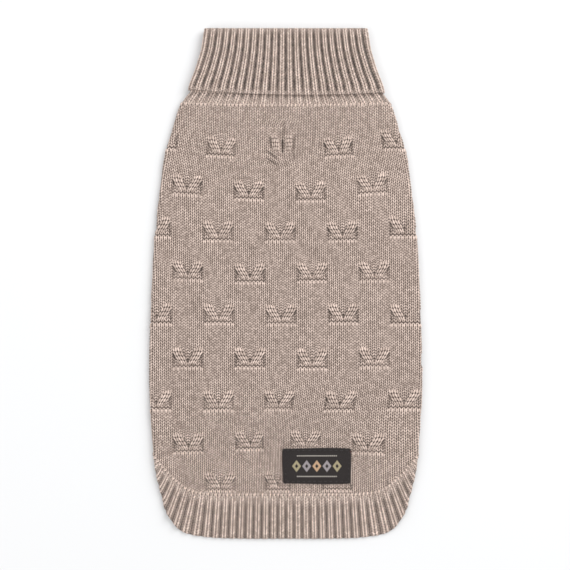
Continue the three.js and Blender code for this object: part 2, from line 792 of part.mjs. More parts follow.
// Half of the collar's laid width: the cuff's outline, and the neck's below it
function collarHalf(y) {
  return y > CUFF_SIDE_Y ? along(CUFF_OUTLINE, "y", "half", y) : along(OUTLINE, "y", "half", y);
}

// A flat plate from half-widths on both sides of the middle
function plate(halfAt, fromY, toY, steps) {
  const right = [];
  for (let k = 0; k <= steps; k++) {
    const y = fromY + ((toY - fromY) * k) / steps;
    right.push(new THREE.Vector2(halfAt(y), y));
  }
  const left = right.map((p) => new THREE.Vector2(-p.x, p.y)).reverse();
  const shape = new THREE.Shape([...right, ...left]);
  return new THREE.ExtrudeGeometry(shape, { depth: WALL, bevelEnabled: false });
}

// Belly panel: a flat plate between the side seams, cut away round both leg holes
const bellyEdge = (y) => bellyHalf(y) - SEAM_GAP / 2;

function bellyPanel() {
  const steps = 16;
  const top = NECK_SIDE_Y - SEAM_GAP / 2;
  const whole = solidOf(plate(bellyEdge, BELLY_BAND_Y + SEAM_GAP / 2, top, steps));
  return geometryOf(whole.subtract(legHoleCut(1)).subtract(legHoleCut(-1)));
}

function bellyHem() {
  return plate(bellyEdge, BELLY_HEM_Y, BELLY_BAND_Y - SEAM_GAP / 2, 1);
}

// Leg cuff: an oval band round a leg hole
function legCuff(side) {
  const { x, y, halfWide, halfLong, band, segments } = LEG_HOLE;
  const outer = new THREE.Shape();
  outer.absellipse(side * x, y, halfWide + band, halfLong + band, 0, 2 * Math.PI);
  const hole = new THREE.Path();
  hole.absellipse(side * x, y, halfWide, halfLong, 0, 2 * Math.PI);
  outer.holes.push(hole);
  return new THREE.ExtrudeGeometry(outer, {
    depth: WALL,
    bevelEnabled: false,
    curveSegments: segments,
  });
}

// Label: the back panel's own points under it, moved out
function label() {
  const surface = new Surface();
  const grid = labelGrid();
  const face = (lift) => grid.map((row) => surface.addRow(row.map((p) => onBody(p.x, p.y, 0, lift))));
  const bottom = face(SEAM_GAP);
  const top = face(SEAM_GAP + LABEL.thick);
  const last = grid.length - 1;
  for (let r = 0; r < last; r++) {
    surface.strip(top[r], top[r + 1]);
    surface.strip(bottom[r + 1], bottom[r]);
  }
  const side = (rows, first) => rows.map((row) => (first ? row[0] : row.at(-1)));
  surface.strip(bottom[0], top[0]);
  surface.strip(top[last], bottom[last]);
  surface.strip(side(top, true), side(bottom, true));
  surface.strip(side(bottom, false), side(top, false));
  return surface.geometry();
}

const group = new THREE.Group();
function addPiece(name, geometry, colour) {
  const material = new THREE.MeshStandardMaterial({ color: colour, roughness: 0.95, metalness: 0 });
  geometry.computeVertexNormals();
  const mesh = new THREE.Mesh(geometry, material);
  mesh.name = name;
  group.add(mesh);
}

addPiece("back_panel", backPanel(), colours.knit);
addPiece("belly_panel", bellyPanel(), colours.knit);
addPiece("hem_band", hemBand(), colours.rib);
addPiece("belly_hem", bellyHem(), colours.rib);
addPiece("leg_cuff_right", legCuff(1), colours.rib);
addPiece("leg_cuff_left", legCuff(-1), colours.rib);
addPiece("collar", collar(), colours.rib);
addPiece("label", label(), colours.label);

export default group;
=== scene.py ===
import math

import bmesh
import bpy
import numpy as np
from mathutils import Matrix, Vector
from mathutils.geometry import delaunay_2d_cdt


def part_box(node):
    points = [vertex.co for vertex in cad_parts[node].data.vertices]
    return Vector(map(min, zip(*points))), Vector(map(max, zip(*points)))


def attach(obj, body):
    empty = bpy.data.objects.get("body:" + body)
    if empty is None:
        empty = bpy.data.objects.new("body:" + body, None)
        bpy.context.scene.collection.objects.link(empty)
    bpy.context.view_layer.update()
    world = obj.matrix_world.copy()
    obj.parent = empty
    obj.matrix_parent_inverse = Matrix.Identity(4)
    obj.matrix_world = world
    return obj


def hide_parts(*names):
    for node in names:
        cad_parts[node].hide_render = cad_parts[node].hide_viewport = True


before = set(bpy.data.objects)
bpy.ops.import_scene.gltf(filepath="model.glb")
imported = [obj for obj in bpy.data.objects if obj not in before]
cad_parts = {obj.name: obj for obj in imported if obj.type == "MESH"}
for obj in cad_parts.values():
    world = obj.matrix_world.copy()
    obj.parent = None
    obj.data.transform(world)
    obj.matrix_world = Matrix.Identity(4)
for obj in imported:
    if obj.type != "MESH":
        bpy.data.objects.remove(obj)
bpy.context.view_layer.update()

# The camera looks straight down on the laid-out sweater, as a product photographer's does
# from a copy stand. A long lens keeps the edges free of perspective.
VIEW_WIDTH = 0.456
LENS_MM = 100
SENSOR_MM = 36
CLOTH_TOP = 0.006

camera_data = bpy.data.cameras.new("copy_stand")
camera_data.lens = LENS_MM
camera_data.sensor_width = SENSOR_MM
camera = bpy.data.objects.new("copy_stand", camera_data)
camera.location = (-0.0006, -0.0008, CLOTH_TOP + VIEW_WIDTH * LENS_MM / SENSOR_MM)
bpy.context.collection.objects.link(camera)
bpy.context.scene.camera = camera


# The yarn is a heathered wool blend, spun from light and dark fibres. Its finish is used on
# every knitted piece. The map runs one unit for each wale across and each course along.
LEG_SLANT = 0.8  # courses that a stitch's leg climbs from the wale's middle to its side


class Value:
    """A number that changes over a surface, with Python's operators as Math nodes."""

    def __init__(self, finish, socket):
        self.finish = finish
        self.socket = socket

    def maths(self, operation, *others):
        given = {i + 1: other for i, other in enumerate(others)}
        return self.finish.node("ShaderNodeMath", {"operation": operation}, {0: self, **given})

    def __add__(self, other):
        return self.maths("ADD", other)

    __radd__ = __add__

    def __mul__(self, other):
        return self.maths("MULTIPLY", other)

    __rmul__ = __mul__

    def __sub__(self, other):
        return self.maths("SUBTRACT", other)

    def __rsub__(self, other):
        return self * -1 + other

    def __pow__(self, power):
        return self.maths("POWER", power)

    def __abs__(self):
        return self.maths("ABSOLUTE")

    def fraction(self):
        return self.maths("FRACT")

    def floor(self):
        return self.maths("FLOOR")

    def least(self, other):
        return self.maths("MINIMUM", other)

    def most(self, other):
        return self.maths("MAXIMUM", other)

    def step(self, low, high):
        """Rises softly from 0 at low to 1 at high."""
        ends = {"From Min": low, "From Max": high, "Value": self}
        return self.finish.node("ShaderNodeMapRange", {"interpolation_type": "SMOOTHSTEP"}, ends)


class Finish:
    """A cloth's material under construction."""

    def __init__(self, name, roughness, sheen, sheen_tint):
        self.material = bpy.data.materials.new(name)
        self.material.use_nodes = True
        self.tree = self.material.node_tree
        self.shader = self.tree.nodes["Principled BSDF"]
        self.shader.inputs["Roughness"].default_value = roughness
        self.shader.inputs["Specular IOR Level"].default_value = 0.25
        self.shader.inputs["Sheen Weight"].default_value = sheen
        self.shader.inputs["Sheen Roughness"].default_value = 0.6
        self.shader.inputs["Sheen Tint"].default_value = (*sheen_tint, 1)

    def node(self, kind, settings=None, sockets=None, output=0):
        node = self.tree.nodes.new(kind)
        for name, setting in (settings or {}).items():
            setattr(node, name, setting)
        for name, given in (sockets or {}).items():
            if isinstance(given, Value):
                self.tree.links.new(given.socket, node.inputs[name])
            else:
                node.inputs[name].default_value = given
        return Value(self, node.outputs[output])

    def split(self, vector):
        node = self.node("ShaderNodeSeparateXYZ", sockets={0: vector}).socket.node
        return [Value(self, node.outputs[i]) for i in range(3)]

    def mix(self, share, near, far, blend="MIX"):
        """A colour between two, each a link or linear red, green and blue."""
        settings = {"data_type": "RGBA", "blend_type": blend}
        node = self.node("ShaderNodeMix", settings).socket.node
        for socket, given in ((node.inputs[0], share), (node.inputs[6], near), (node.inputs[7], far)):
            if isinstance(given, Value):
                self.tree.links.new(given.socket, socket)
            else:
                socket.default_value = given if isinstance(given, float) else (*given, 1)
        return Value(self, node.outputs[2])

    def noise(self, vector, scale, detail=2.0, roughness=0.5):
        sockets = {"Vector": vector, "Scale": scale, "Detail": detail, "Roughness": roughness}
        return self.node("ShaderNodeTexNoise", sockets=sockets)

    def dress(self, colour, height, depth):
        """Sets the colour and the bump, which stands depth metres high."""
        bump = self.node("ShaderNodeBump", sockets={"Height": height, "Distance": depth})
        self.tree.links.new(colour.socket, self.shader.inputs["Base Color"])
        self.tree.links.new(bump.socket, self.shader.inputs["Normal"])


def yarn_finish(name, light, dark, rosy, shadow, gap_painted_shade):
    finish = Finish(name, roughness=0.92, sheen=0.25, sheen_tint=(0.9, 0.84, 0.78))
    knit = finish.node("ShaderNodeUVMap", {"uv_map": "knit"})
    wale, course, _ = finish.split(knit)

    # Each wale is a column of legs that meet in its middle, with a hole where four legs meet
    inward = 1 - abs(wale.fraction() * 2 - 1)
    across_leg = abs(inward * 2 - 1)
    climbed = course + inward * LEG_SLANT
    along_leg = climbed.fraction()
    leg_round = along_leg * (1 - along_leg) * 4
    leg = (1 - across_leg ** 2) * (0.3 + leg_round ** 0.6 * 0.7)
    gap = across_leg ** 2 * (1 - leg_round * 0.66) + (1 - leg_round) ** 2 * 0.4

    # Heathering: a fine fleck of light and dark fibres, and stitches that differ a little
    stitch = finish.node("ShaderNodeCombineXYZ", sockets={
        "X": (wale * 2).floor(),
        "Y": climbed.floor(),
    })
    own = finish.node("ShaderNodeTexWhiteNoise", {"noise_dimensions": "2D"}, {"Vector": stitch})
    fleck = finish.noise(knit, 3.4, roughness=0.6)
    cloud = finish.noise(knit, 0.12)
    fibre = finish.noise(knit, 14.0, roughness=0.8)
    stretch = finish.node("ShaderNodeCombineXYZ", sockets={
        "X": wale * 0.5,
        "Y": climbed.floor() * 3.7,
    })
    streak = finish.noise(stretch, 1.0)
    # Each point's painted shade comes from the mesh; below zero it is a painted highlight, which also
    # lightens the heather's tone
    painted_shade = finish.node("ShaderNodeAttribute", {"attribute_name": "painted_shade"}, output=2)
    lit = (painted_shade * -1).most(0.0)
    tone = fleck * 0.7 + own * 0.32 + streak * 0.4 + cloud * 0.1 + lit * 0.4 - 0.26
    heather_and_highlight = finish.mix(tone.step(0.1, 0.9), dark, light)
    blush = finish.noise(knit, 1.3, detail=3.0, roughness=0.7)
    heather_and_highlight = finish.mix(blush.step(0.5, 0.8) * 0.25, heather_and_highlight, rosy)

    # The gaps between the legs, and the valleys between ribs and cables, get painted shade. A
    # painted shade below zero is a painted highlight, on yarn that bulges into the light.
    painted_hole_shade = gap.step(0.04, 0.52) * gap_painted_shade * (1 - painted_shade.most(0.0) * 0.8)
    shade = (painted_hole_shade + painted_shade * (own * 0.6 - leg_round * 0.4 + 0.82)).least(0.97)
    colour = finish.mix(shade, heather_and_highlight, shadow)
    finish.dress(colour, leg + fibre * 0.25, 0.0006)
    return finish.material


knit_yarn = yarn_finish(
    "knit_yarn", light=(0.91, 0.73, 0.64), dark=(0.37, 0.283, 0.238), rosy=(0.6, 0.42, 0.345),
    shadow=(0.04, 0.024, 0.018), gap_painted_shade=0.97)
rib_yarn = yarn_finish(
    "rib_yarn", light=(0.97, 0.785, 0.69), dark=(0.41, 0.31, 0.26), rosy=(0.6, 0.42, 0.345),
    shadow=(0.022, 0.012, 0.009), gap_painted_shade=0.76)


# The back panel is one piece of stocking stitch with small cables. It wraps round both sides
# and its edges are sewn to the belly panel on the underside. Sizes are in millimetres here,
# and (out, y) is a place on the flat cut: out from the centre back, and along the dog.
MM = 0.001
WALL = 2.2
LAYER_GAP = 0.5
SEAM_GAP = 0.3
SLANT_GAP = 0.55
LENGTH = 409
HEM_Y = -LENGTH / 2
FOLD_Y = LENGTH / 2
NECK_SIDE_Y = 143.9
NECK_DIP = 1.5
CUFF_SIDE_Y = 154
CUFF_DIP = 2.8
SIDE_HEIGHT = 6
NECK_HEIGHT = 6.6
SIDE_SOFT = 16
BELLY_BAND_Y = -71
BELLY_HEM_Y = -101

BODY_OUTLINE = [  # y, half width
    (156, 78), (141, 85.6), (122, 91.5), (102, 97.4), (83, 99.8), (45, 104.6), (0, 107.4),
    (-50, 109.2), (-90, 109.2), (-120, 107.4), (-148, 105), (-166, 101), (-178, 98), (-210, 96),
]
BELLY_OUTLINE = [  # y, half width
    (152, 34), (120, 42), (88, 48), (50, 54), (10, 57), (-71, 57), (-110, 57),
]
UNDER_REACH = [  # out, y down to which something lies under the back
    (0, -107), (56, -108), (64, -126), (71, -145), (79, -163), (88, -178), (110, -196),
]
DROP_RUN = 38

WALE = 49.8 / 16
COURSE = 33.8 / 16
KNIT_MIDDLE = -2.6


def ease(t):
    k = np.clip(t, 0, 1)
    return k * k * (3 - 2 * k)


def along(table, at):
    """A smooth curve through a table's rows."""
    keys, values = np.array(sorted(table), float).T
    last = len(keys) - 1
    after = np.minimum(np.arange(last + 1) + 1, last)
    before = np.maximum(np.arange(last + 1) - 1, 0)
    slopes = (values[after] - values[before]) / (keys[after] - keys[before])
    at = np.clip(at, keys[0], keys[-1])
    i = np.clip(np.searchsorted(keys, at, side="right") - 1, 0, last - 1)
    run = keys[i + 1] - keys[i]
    t = (at - keys[i]) / run
    return (
        (2 * t**3 - 3 * t**2 + 1) * values[i]
        + (t**3 - 2 * t**2 + t) * run * slopes[i]
        + (3 * t**2 - 2 * t**3) * values[i + 1]
        + (t**3 - t**2) * run * slopes[i + 1]
    )


def neck_rise(y):
    return ease((y - 104) / 36)


def side_fold(y):
    """Height, outer radius, turned length and start of the fold at the garment's side."""
    tuck = ease((-150 - y) / 22) * (SIDE_HEIGHT - 2 * WALL - 0.3)
    height = SIDE_HEIGHT + neck_rise(y) * (NECK_HEIGHT - SIDE_HEIGHT) - tuck
    radius = height / 2
    turn = math.pi * (radius - WALL / 2)
    return height, radius, turn, along(BODY_OUTLINE, y) - radius


def turned_under(out, y, first, run):
    """0 on top and 1 below, changing over shares of the way round the side fold."""
    _, _, turn, start = side_fold(y)
    return ease((np.abs(out) - start - first * turn) / (run * turn))


def on_body(out, y, deep=0.0, lift=0.0):
    """A point of the body's cloth, deep below its outer face or lift above it."""
    out, y, deep, lift = np.broadcast_arrays(*(np.asarray(v, float) for v in (out, y, deep, lift)))
    height, radius, turn, start = side_fold(y)
    far = np.abs(out)
    past = far - start
    offset = lift - deep
    middle = 2 * WALL + LAYER_GAP + neck_rise(y) * (NECK_HEIGHT - 2 * WALL - LAYER_GAP)
    top_z = middle + (height - middle) * ease((past + SIDE_SOFT) / SIDE_SOFT) + offset
    angle = np.clip(past / turn, 0, 1) * math.pi
    fold_x = start + (radius + offset) * np.sin(angle)
    fold_z = radius + (radius + offset) * np.cos(angle)
    flat = past <= 0
    under = past > turn
    x = np.where(flat, far, np.where(under, start - past + turn, fold_x))
    z = np.where(flat, top_z, fold_z)
    lying = WALL - deep + lift
    drop = ease((along(UNDER_REACH, x) - y) / DROP_RUN) * (past < turn / 2)
    z = np.where(under, -offset, lying + (z - lying) * (1 - drop))
    return np.stack([np.where(out < 0, -x, x), y, z], axis=-1)


KNIT_LEAN = [  # y, how far the wales lean to one side
    (120, -2.2), (70, -2.2), (36, -1.8), (2, -1.2), (-66, -1.2), (-100, -1.5), (-133, -0.6),
    (-167, 0),
]


def neck_draw(y):
    """How close the wales draw together towards the neck."""
    return 1 - 0.08 * ease((y - 70) / 60)


def knit_out(across, y):
    """Where a wale lies: they draw together towards the neck and are pulled above the label."""
    pull = 6 * ease((-70 - y) / 60) * ease((across + 30) / 50) * ease((120 - across) / 50)
    to_slit = 2.3 * ease(1 - np.abs(across) / 26) * ease((y - 92) / 10) * ease((134 - y) / 10)
    return KNIT_MIDDLE + along(KNIT_LEAN, y) + across * neck_draw(y) - pull + to_slit


def side_seam_out(y):
    _, _, turn, start = side_fold(y)
    return 2 * start + turn - along(BELLY_OUTLINE, y) - SEAM_GAP / 2


# The hem band's two edges on the flat cut, from the centre back round to the belly
HEM_ROWS = [  # seam out, seam y, rim out, rim y
    (0, -168.8, 0, HEM_Y),
    (32, -168.8, 33, HEM_Y),
    (60, -168.4, 63, -203.2),
    (76, -165.4, 84.5, -197.8),
    (88.5, -156.8, 98.5, -180),
    (99.8, -144.8, 112, -168),
    (112, -128.6, 129, -152),
    (128, -109, 144, -130),
    (145, -89, 154, -112),
    (side_seam_out(BELLY_BAND_Y), BELLY_BAND_Y, side_seam_out(BELLY_HEM_Y), BELLY_HEM_Y),
]


def spline(points, t):
    """An even Catmull-Rom curve through points, at shares t of its length in points."""
    points = np.asarray(points, float)
    last = len(points) - 1
    at = np.asarray(t) * last
    i = np.minimum(np.floor(at).astype(int), last - 1)
    w = (at - i)[:, None]
    p0, p1 = points[np.maximum(i - 1, 0)], points[i]
    p2, p3 = points[i + 1], points[np.minimum(i + 2, last)]
    v0, v1 = (p2 - p0) / 2, (p3 - p1) / 2
    return (2 * p1 - 2 * p2 + v0 + v1) * w**3 + (3 * p2 - 3 * p1 - 2 * v0 - v1) * w**2 + v0 * w + p1


HEM_SHARES = np.linspace(0, 1, 401)
hem_seam = spline([row[:2] for row in HEM_ROWS], HEM_SHARES)
hem_rim = spline([row[2:] for row in HEM_ROWS], HEM_SHARES)
hem_run = np.concatenate([[0], np.cumsum(np.linalg.norm(np.diff(hem_seam, axis=0), axis=1))])


def tail_y(out):
    """The back panel's tail edge, where the hem band's ribs start."""
    return np.interp(np.abs(out), hem_seam[:, 0], hem_seam[:, 1]) + SLANT_GAP


def neck_y(out, y=NECK_SIDE_Y):
    """The back panel's neck edge, which dips at the centre back."""
    _, _, _, reach = side_fold(y)
    return y - SEAM_GAP / 2 - NECK_DIP * np.clip(1 - (out / reach) ** 2, 0, 1)


MERGE = 2e-6  # metres within which points become one


class Skin:
    """Points in millimetres with their map and painted shade, and the faces between them."""

    def __init__(self):
        self.points = []
        self.maps = []
        self.painted_shades = []
        self.faces = []
        self.count = 0

    def add(self, points, wale, course, painted_shade=0.0):
        points = np.asarray(points, float)
        shape = points.shape[:-1]
        self.points.append(points.reshape(-1, 3))
        spread = [np.broadcast_to(v, shape).reshape(-1) for v in (wale, course, painted_shade)]
        self.maps.append(np.stack(spread[:2], axis=-1))
        self.painted_shades.append(spread[2])
        first = self.count
        self.count += int(np.prod(shape))
        return np.arange(first, self.count).reshape(shape)

    def quads(self, grid):
        """Faces of a grid of points, facing up where rows run up and columns to the right."""
        a, b, c, d = grid[:-1, :-1], grid[:-1, 1:], grid[1:, 1:], grid[1:, :-1]
        self.faces += np.stack([a, b, c, d], axis=-1).reshape(-1, 4).tolist()

    def wall(self, near, far):
        self.quads(np.stack([near, far]))

    def round(self, rows):
        """Faces of rows that each close on themselves."""
        self.quads(np.concatenate([rows, rows[:, :1]], axis=1))

    def tube(self, rows):
        """A closed band of cloth: its rows go round and the last meets the first."""
        self.round(np.concatenate([rows, rows[:1]]))

    def rod(self, rows):
        """Rows that go round a rod, and a face at each of its ends."""
        self.round(rows)
        self.faces += [rows[0].tolist(), rows[-1, ::-1].tolist()]

    def strip(self, outer, inner):
        """The two faces of an open band, its edges and its ends."""
        self.quads(outer)
        self.quads(inner)
        for edge in (0, -1):
            self.wall(outer[edge], inner[edge])
        for end in (0, -1):
            self.faces.append([*outer[:, end].tolist(), *inner[::-1, end].tolist()])

    def make(self, name, finish):
        mesh = bpy.data.meshes.new(name)
        points = np.concatenate(self.points) * MM
        mesh.from_pydata(points.tolist(), [], self.faces)
        corners = np.empty(len(mesh.loops), int)
        mesh.loops.foreach_get("vertex_index", corners)
        uv = mesh.uv_layers.new(name="knit")
        uv.data.foreach_set("uv", np.concatenate(self.maps)[corners].reshape(-1))
        shade = mesh.attributes.new("painted_shade", "FLOAT", "POINT")
        shade.data.foreach_set("value", np.concatenate(self.painted_shades))
        work = bmesh.new()
        work.from_mesh(mesh)
        bmesh.ops.remove_doubles(work, verts=work.verts, dist=MERGE)
        bmesh.ops.dissolve_degenerate(work, edges=work.edges, dist=MERGE)
        bmesh.ops.recalc_face_normals(work, faces=work.faces)
        bmesh.ops.triangulate(work, faces=work.faces)
        work.to_mesh(mesh)
        work.free()
        mesh.shade_smooth()
        mesh.materials.append(finish)
        piece = bpy.data.objects.new(name, mesh)
        bpy.context.collection.objects.link(piece)
        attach(piece, "root")
        return piece


def inside(polygon, places):
    """Which places lie in a closed polygon."""
    x, y = places[:, :1], places[:, 1:]
    ax, ay = polygon.T
    bx, by = np.roll(polygon, -1, axis=0).T
    with np.errstate(divide="ignore", invalid="ignore"):
        crossed = ((ay > y) != (by > y)) & (x < (bx - ax) * (y - ay) / (by - ay) + ax)
    return crossed.sum(axis=1) % 2 == 1


def fill(rim, inner, painted_hole_shade=()):
    """Triangles over a polygon and the points inside it, as rows of three indices."""
    loops = [rim, *painted_hole_shade]
    places = np.concatenate([*loops, inner])
    edges = []
    first = 0
    for loop in loops:
        n = len(loop)
        edges += [(first + k, first + (k + 1) % n) for k in range(n)]
        first += n
    found = delaunay_2d_cdt([Vector(p) for p in places.tolist()], edges, [], 0, 1e-7)
    own = [given[0] for given in found[3]]
    triangles = np.array([[own[i] for i in face] for face in found[2]])
    middles = places[triangles].mean(axis=1)
    keep = inside(rim, middles)
    for hole in painted_hole_shade:
        keep &= ~inside(hole, middles)
    return triangles[keep]


# Small cables in half-drop rows: two strands part upwards from a short purl ridge
CABLE_REPEAT = 16 * WALE
CABLE_ROW = 16 * COURSE
CABLE_FIRST_Y = 103.2
CABLE_ROWS = 9
CABLE_HALF = 11.9
COURSE_SAG = [  # y, how far the courses hang at the centre back, and rise again at the sides
    (155, 6, 7), (107, 6, 6), (73, 4.6, 4.9), (39, 3.6, 2.6), (5, 2.2, 1.5), (-28, 1.7, 0),
    (-62, 3.4, 0.4), (-96, 3.2, 0.3), (-130, 0.6, -2.6), (-164, 0.4, -0.8), (-205, 0, 0),
]


def course_sag(across, y):
    hang = along([(row[0], row[1]) for row in COURSE_SAG], y)
    rise = along([(row[0], row[2]) for row in COURSE_SAG], y)
    return rise * np.minimum((across / 72) ** 2, 1.5) - hang + 0.5 * np.sin(across / 19 + y / 23)


def cable_place(across, y):
    """Place from the middle foot of the nearest cable: out from it, and up."""
    row = np.clip(np.ceil((CABLE_FIRST_Y - 4 - y) / CABLE_ROW), 0, CABLE_ROWS - 1)
    foot = CABLE_FIRST_Y - row * CABLE_ROW
    shift = np.where(row % 2 == 1, CABLE_REPEAT / 2, 0)
    from_middle = (across - shift + CABLE_REPEAT / 2) % CABLE_REPEAT - CABLE_REPEAT / 2
    return from_middle, y - foot


def box_mask(value, low, high, soft):
    return ease((value - low) / soft + 0.5) * ease((high - value) / soft + 0.5)


def cable_sag(across, y):
    """The courses' hang, which is drawn level under each cable."""
    side, up = cable_place(across, y)
    level = 0.6 * side * ease((15.5 - np.abs(side)) / 4) * box_mask(up, -2, 18, 4)
    return course_sag(across - level, y)


STRAND_LEAN = [(4, 2.9), (7, 4.3), (10, 6.1), (13, 7.7), (16, 8.6), (20, 8.9)]


def strand_lean(up):
    """How far a strand's middle line stands from the cable's, at a height above its foot."""
    return along(STRAND_LEAN, up)


# Relief of plain knitting: the height of a wale's side, leg, middle and leg, in the groove
# between two stitches and on the stitch
STITCH_RELIEF = np.array([[-0.38, -0.05, -0.2, -0.05], [-0.25, 0.45, 0.0, 0.45]])
PURL_RELIEF = np.array([[0.1, -0.25, 0.35, -0.25], [-0.35, -0.15, -0.3, -0.15]])
# Painted shade on a purl bump's side, leg, middle and leg; below zero a painted highlight
BUMP_SHADE = np.array([1.0, -0.5, 0.4, -0.5])
FINE_WALES = 37
SLIT_X = -2.4
SLIT_Y = 110.4
SLIT_WIDE = 0.9
SLIT_LONG = 5.6
CREASES = [  # from x, y to x, y, half width, depth, painted shade in the trough
    (-1.0, 129, -2.6, 115, 1.2, 0.9, 0.65),
    (-14.6, 106.2, -6.4, 100, 1.1, 1.1, 0.95),
    (-15, 100.4, -6, 95, 1.1, 1.0, 0.9),
    (-12.9, 118, -11.4, 108.5, 1.2, 1.1, 1.0),
    (6.6, 117, 6.1, 107.6, 1.1, 1.1, 1.0),
    (5.4, 107, 7.2, 100, 1.0, 0.8, 0.7),
    (8, 136, 15, 126, 1.2, 0.3, 0.1),
    (-64, 86, -48, 92, 6, 0.35, 0.03),
    (58, 24, 76, 40, 7, 0.35, 0.03),
    (-88, -40, -70, -64, 8, 0.4, 0.03),
    (-4, -92, 20, -118, 8, 0.3, 0.02),
    (74, -86, 92, -70, 7, 0.4, 0.03),
    (-2, -128, -4, -152, 1.6, 0.5, 0.16),
    (-34, 140, -22, 122, 3, 0.3, 0.03),
]


def crease_marks(x, y):
    """Depth and painted shade of the soft creases, each a short trough with fading ends."""
    deep, dark = np.zeros(x.shape), np.zeros(x.shape)
    for x0, y0, x1, y1, half, depth, shade in CREASES:
        run = np.array([x1 - x0, y1 - y0])
        length = np.linalg.norm(run)
        way = run / length
        near = (x - x0) * way[0] + (y - y0) * way[1]
        off = np.abs((x - x0) * way[1] - (y - y0) * way[0])
        mask = ease(1 - off / half) * box_mask(near, 0, length, length * 0.4)
        deep = np.maximum(deep, depth * mask)
        dark = np.maximum(dark, shade * mask)
    return deep, dark


LEG_HOLE_X = 48
LEG_HOLE_Y = 88
LEG_HALF_WIDE = 17
LEG_HALF_LONG = 28
LEG_BAND = 10
LABEL_LOW, LABEL_HIGH = (np.array(corner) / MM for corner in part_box("label"))


def clear_of_label(x, y):
    """1 away from the label, and 0 under it."""
    over_x = box_mask(x, LABEL_LOW[0] - 1, LABEL_HIGH[0] + 1, 1.5)
    return 1 - over_x * box_mask(y, LABEL_LOW[1] - 1, LABEL_HIGH[1] + 1, 1.5)


def leg_hole_arc(side, grow, belly_side):
    """The part of a leg hole's cut that lies on one side of the side seam, tail to neck."""
    angle = np.linspace(-math.pi / 2, math.pi / 2, 49)
    if belly_side:
        angle = math.pi - angle
    x = LEG_HOLE_X + (LEG_HALF_WIDE + grow) * np.cos(angle)
    y = LEG_HOLE_Y + (LEG_HALF_LONG + grow) * np.sin(angle)
    beyond = x - along(BELLY_OUTLINE, y)
    keep = beyond < -SEAM_GAP / 2 if belly_side else beyond > SEAM_GAP / 2
    return side * x[keep], y[keep]


def fold_lines(y):
    """Cloth distances at which the side fold's bend needs points."""
    _, _, turn, start = side_fold(y)
    return [start + turn * share for share in (-0.4, 0, 0.25, 0.5, 0.75, 1, 1.4)]


def back_edge(side, first_out):
    """The cut edge on the underside: along the hem's seam, up the side seam and round the leg
    hole, then along the neck to the fine knitting again."""
    corner_y = BELLY_BAND_Y + SLANT_GAP
    hem_out = np.linspace(first_out[0], side_seam_out(corner_y), 40)[1:-1]
    hole_x, hole_y = leg_hole_arc(1, LEG_BAND + SEAM_GAP, belly_side=False)
    seam_low = np.linspace(corner_y, hole_y[0], 34)[:-1]
    seam_high = np.linspace(hole_y[-1], NECK_SIDE_Y - SEAM_GAP / 2, 12)[1:]
    _, _, turn, start = side_fold(hole_y)
    neck_out = np.linspace(side_seam_out(seam_high[-1]), first_out[1], 8)[1:-1]
    parts = [
        (hem_out, tail_y(hem_out)),
        (side_seam_out(seam_low), seam_low),
        (2 * start + turn - hole_x, hole_y),
        (side_seam_out(seam_high), seam_high),
        (neck_out, np.full(len(neck_out), seam_high[-1])),
    ]
    edge = np.concatenate([np.stack(part, axis=-1) for part in parts])
    return edge * (side, 1)


def distinct(places, ids):
    """Drops points that repeat the one before."""
    keep = np.linalg.norm(places - np.roll(places, 1, axis=0), axis=1) > 1e-6
    return places[keep], ids[keep]


def lay(skin, places, deep=0.0, lift=0.0):
    """Points of the back at places on its flat cut."""
    out, y = places[:, 0], places[:, 1]
    wale = (out - KNIT_MIDDLE) / neck_draw(y) / WALE
    return skin.add(on_body(out, y, deep, lift), wale, y / COURSE)


def scatter(rim, pitch, room):
    """Points of a triangular grid inside a polygon, away from its rim."""
    low, high = rim.min(axis=0), rim.max(axis=0)
    y, x = np.meshgrid(
        np.arange(low[1], high[1], pitch * 0.87), np.arange(low[0], high[0], pitch), indexing="ij")
    x = x + (np.arange(len(x)) % 2)[:, None] * pitch / 2
    places = np.stack([x.ravel(), y.ravel()], axis=-1)
    places = places[inside(rim, places)]
    gaps = np.linalg.norm(places[:, None] - rim[None], axis=-1).min(axis=1)
    return places[gaps > room]


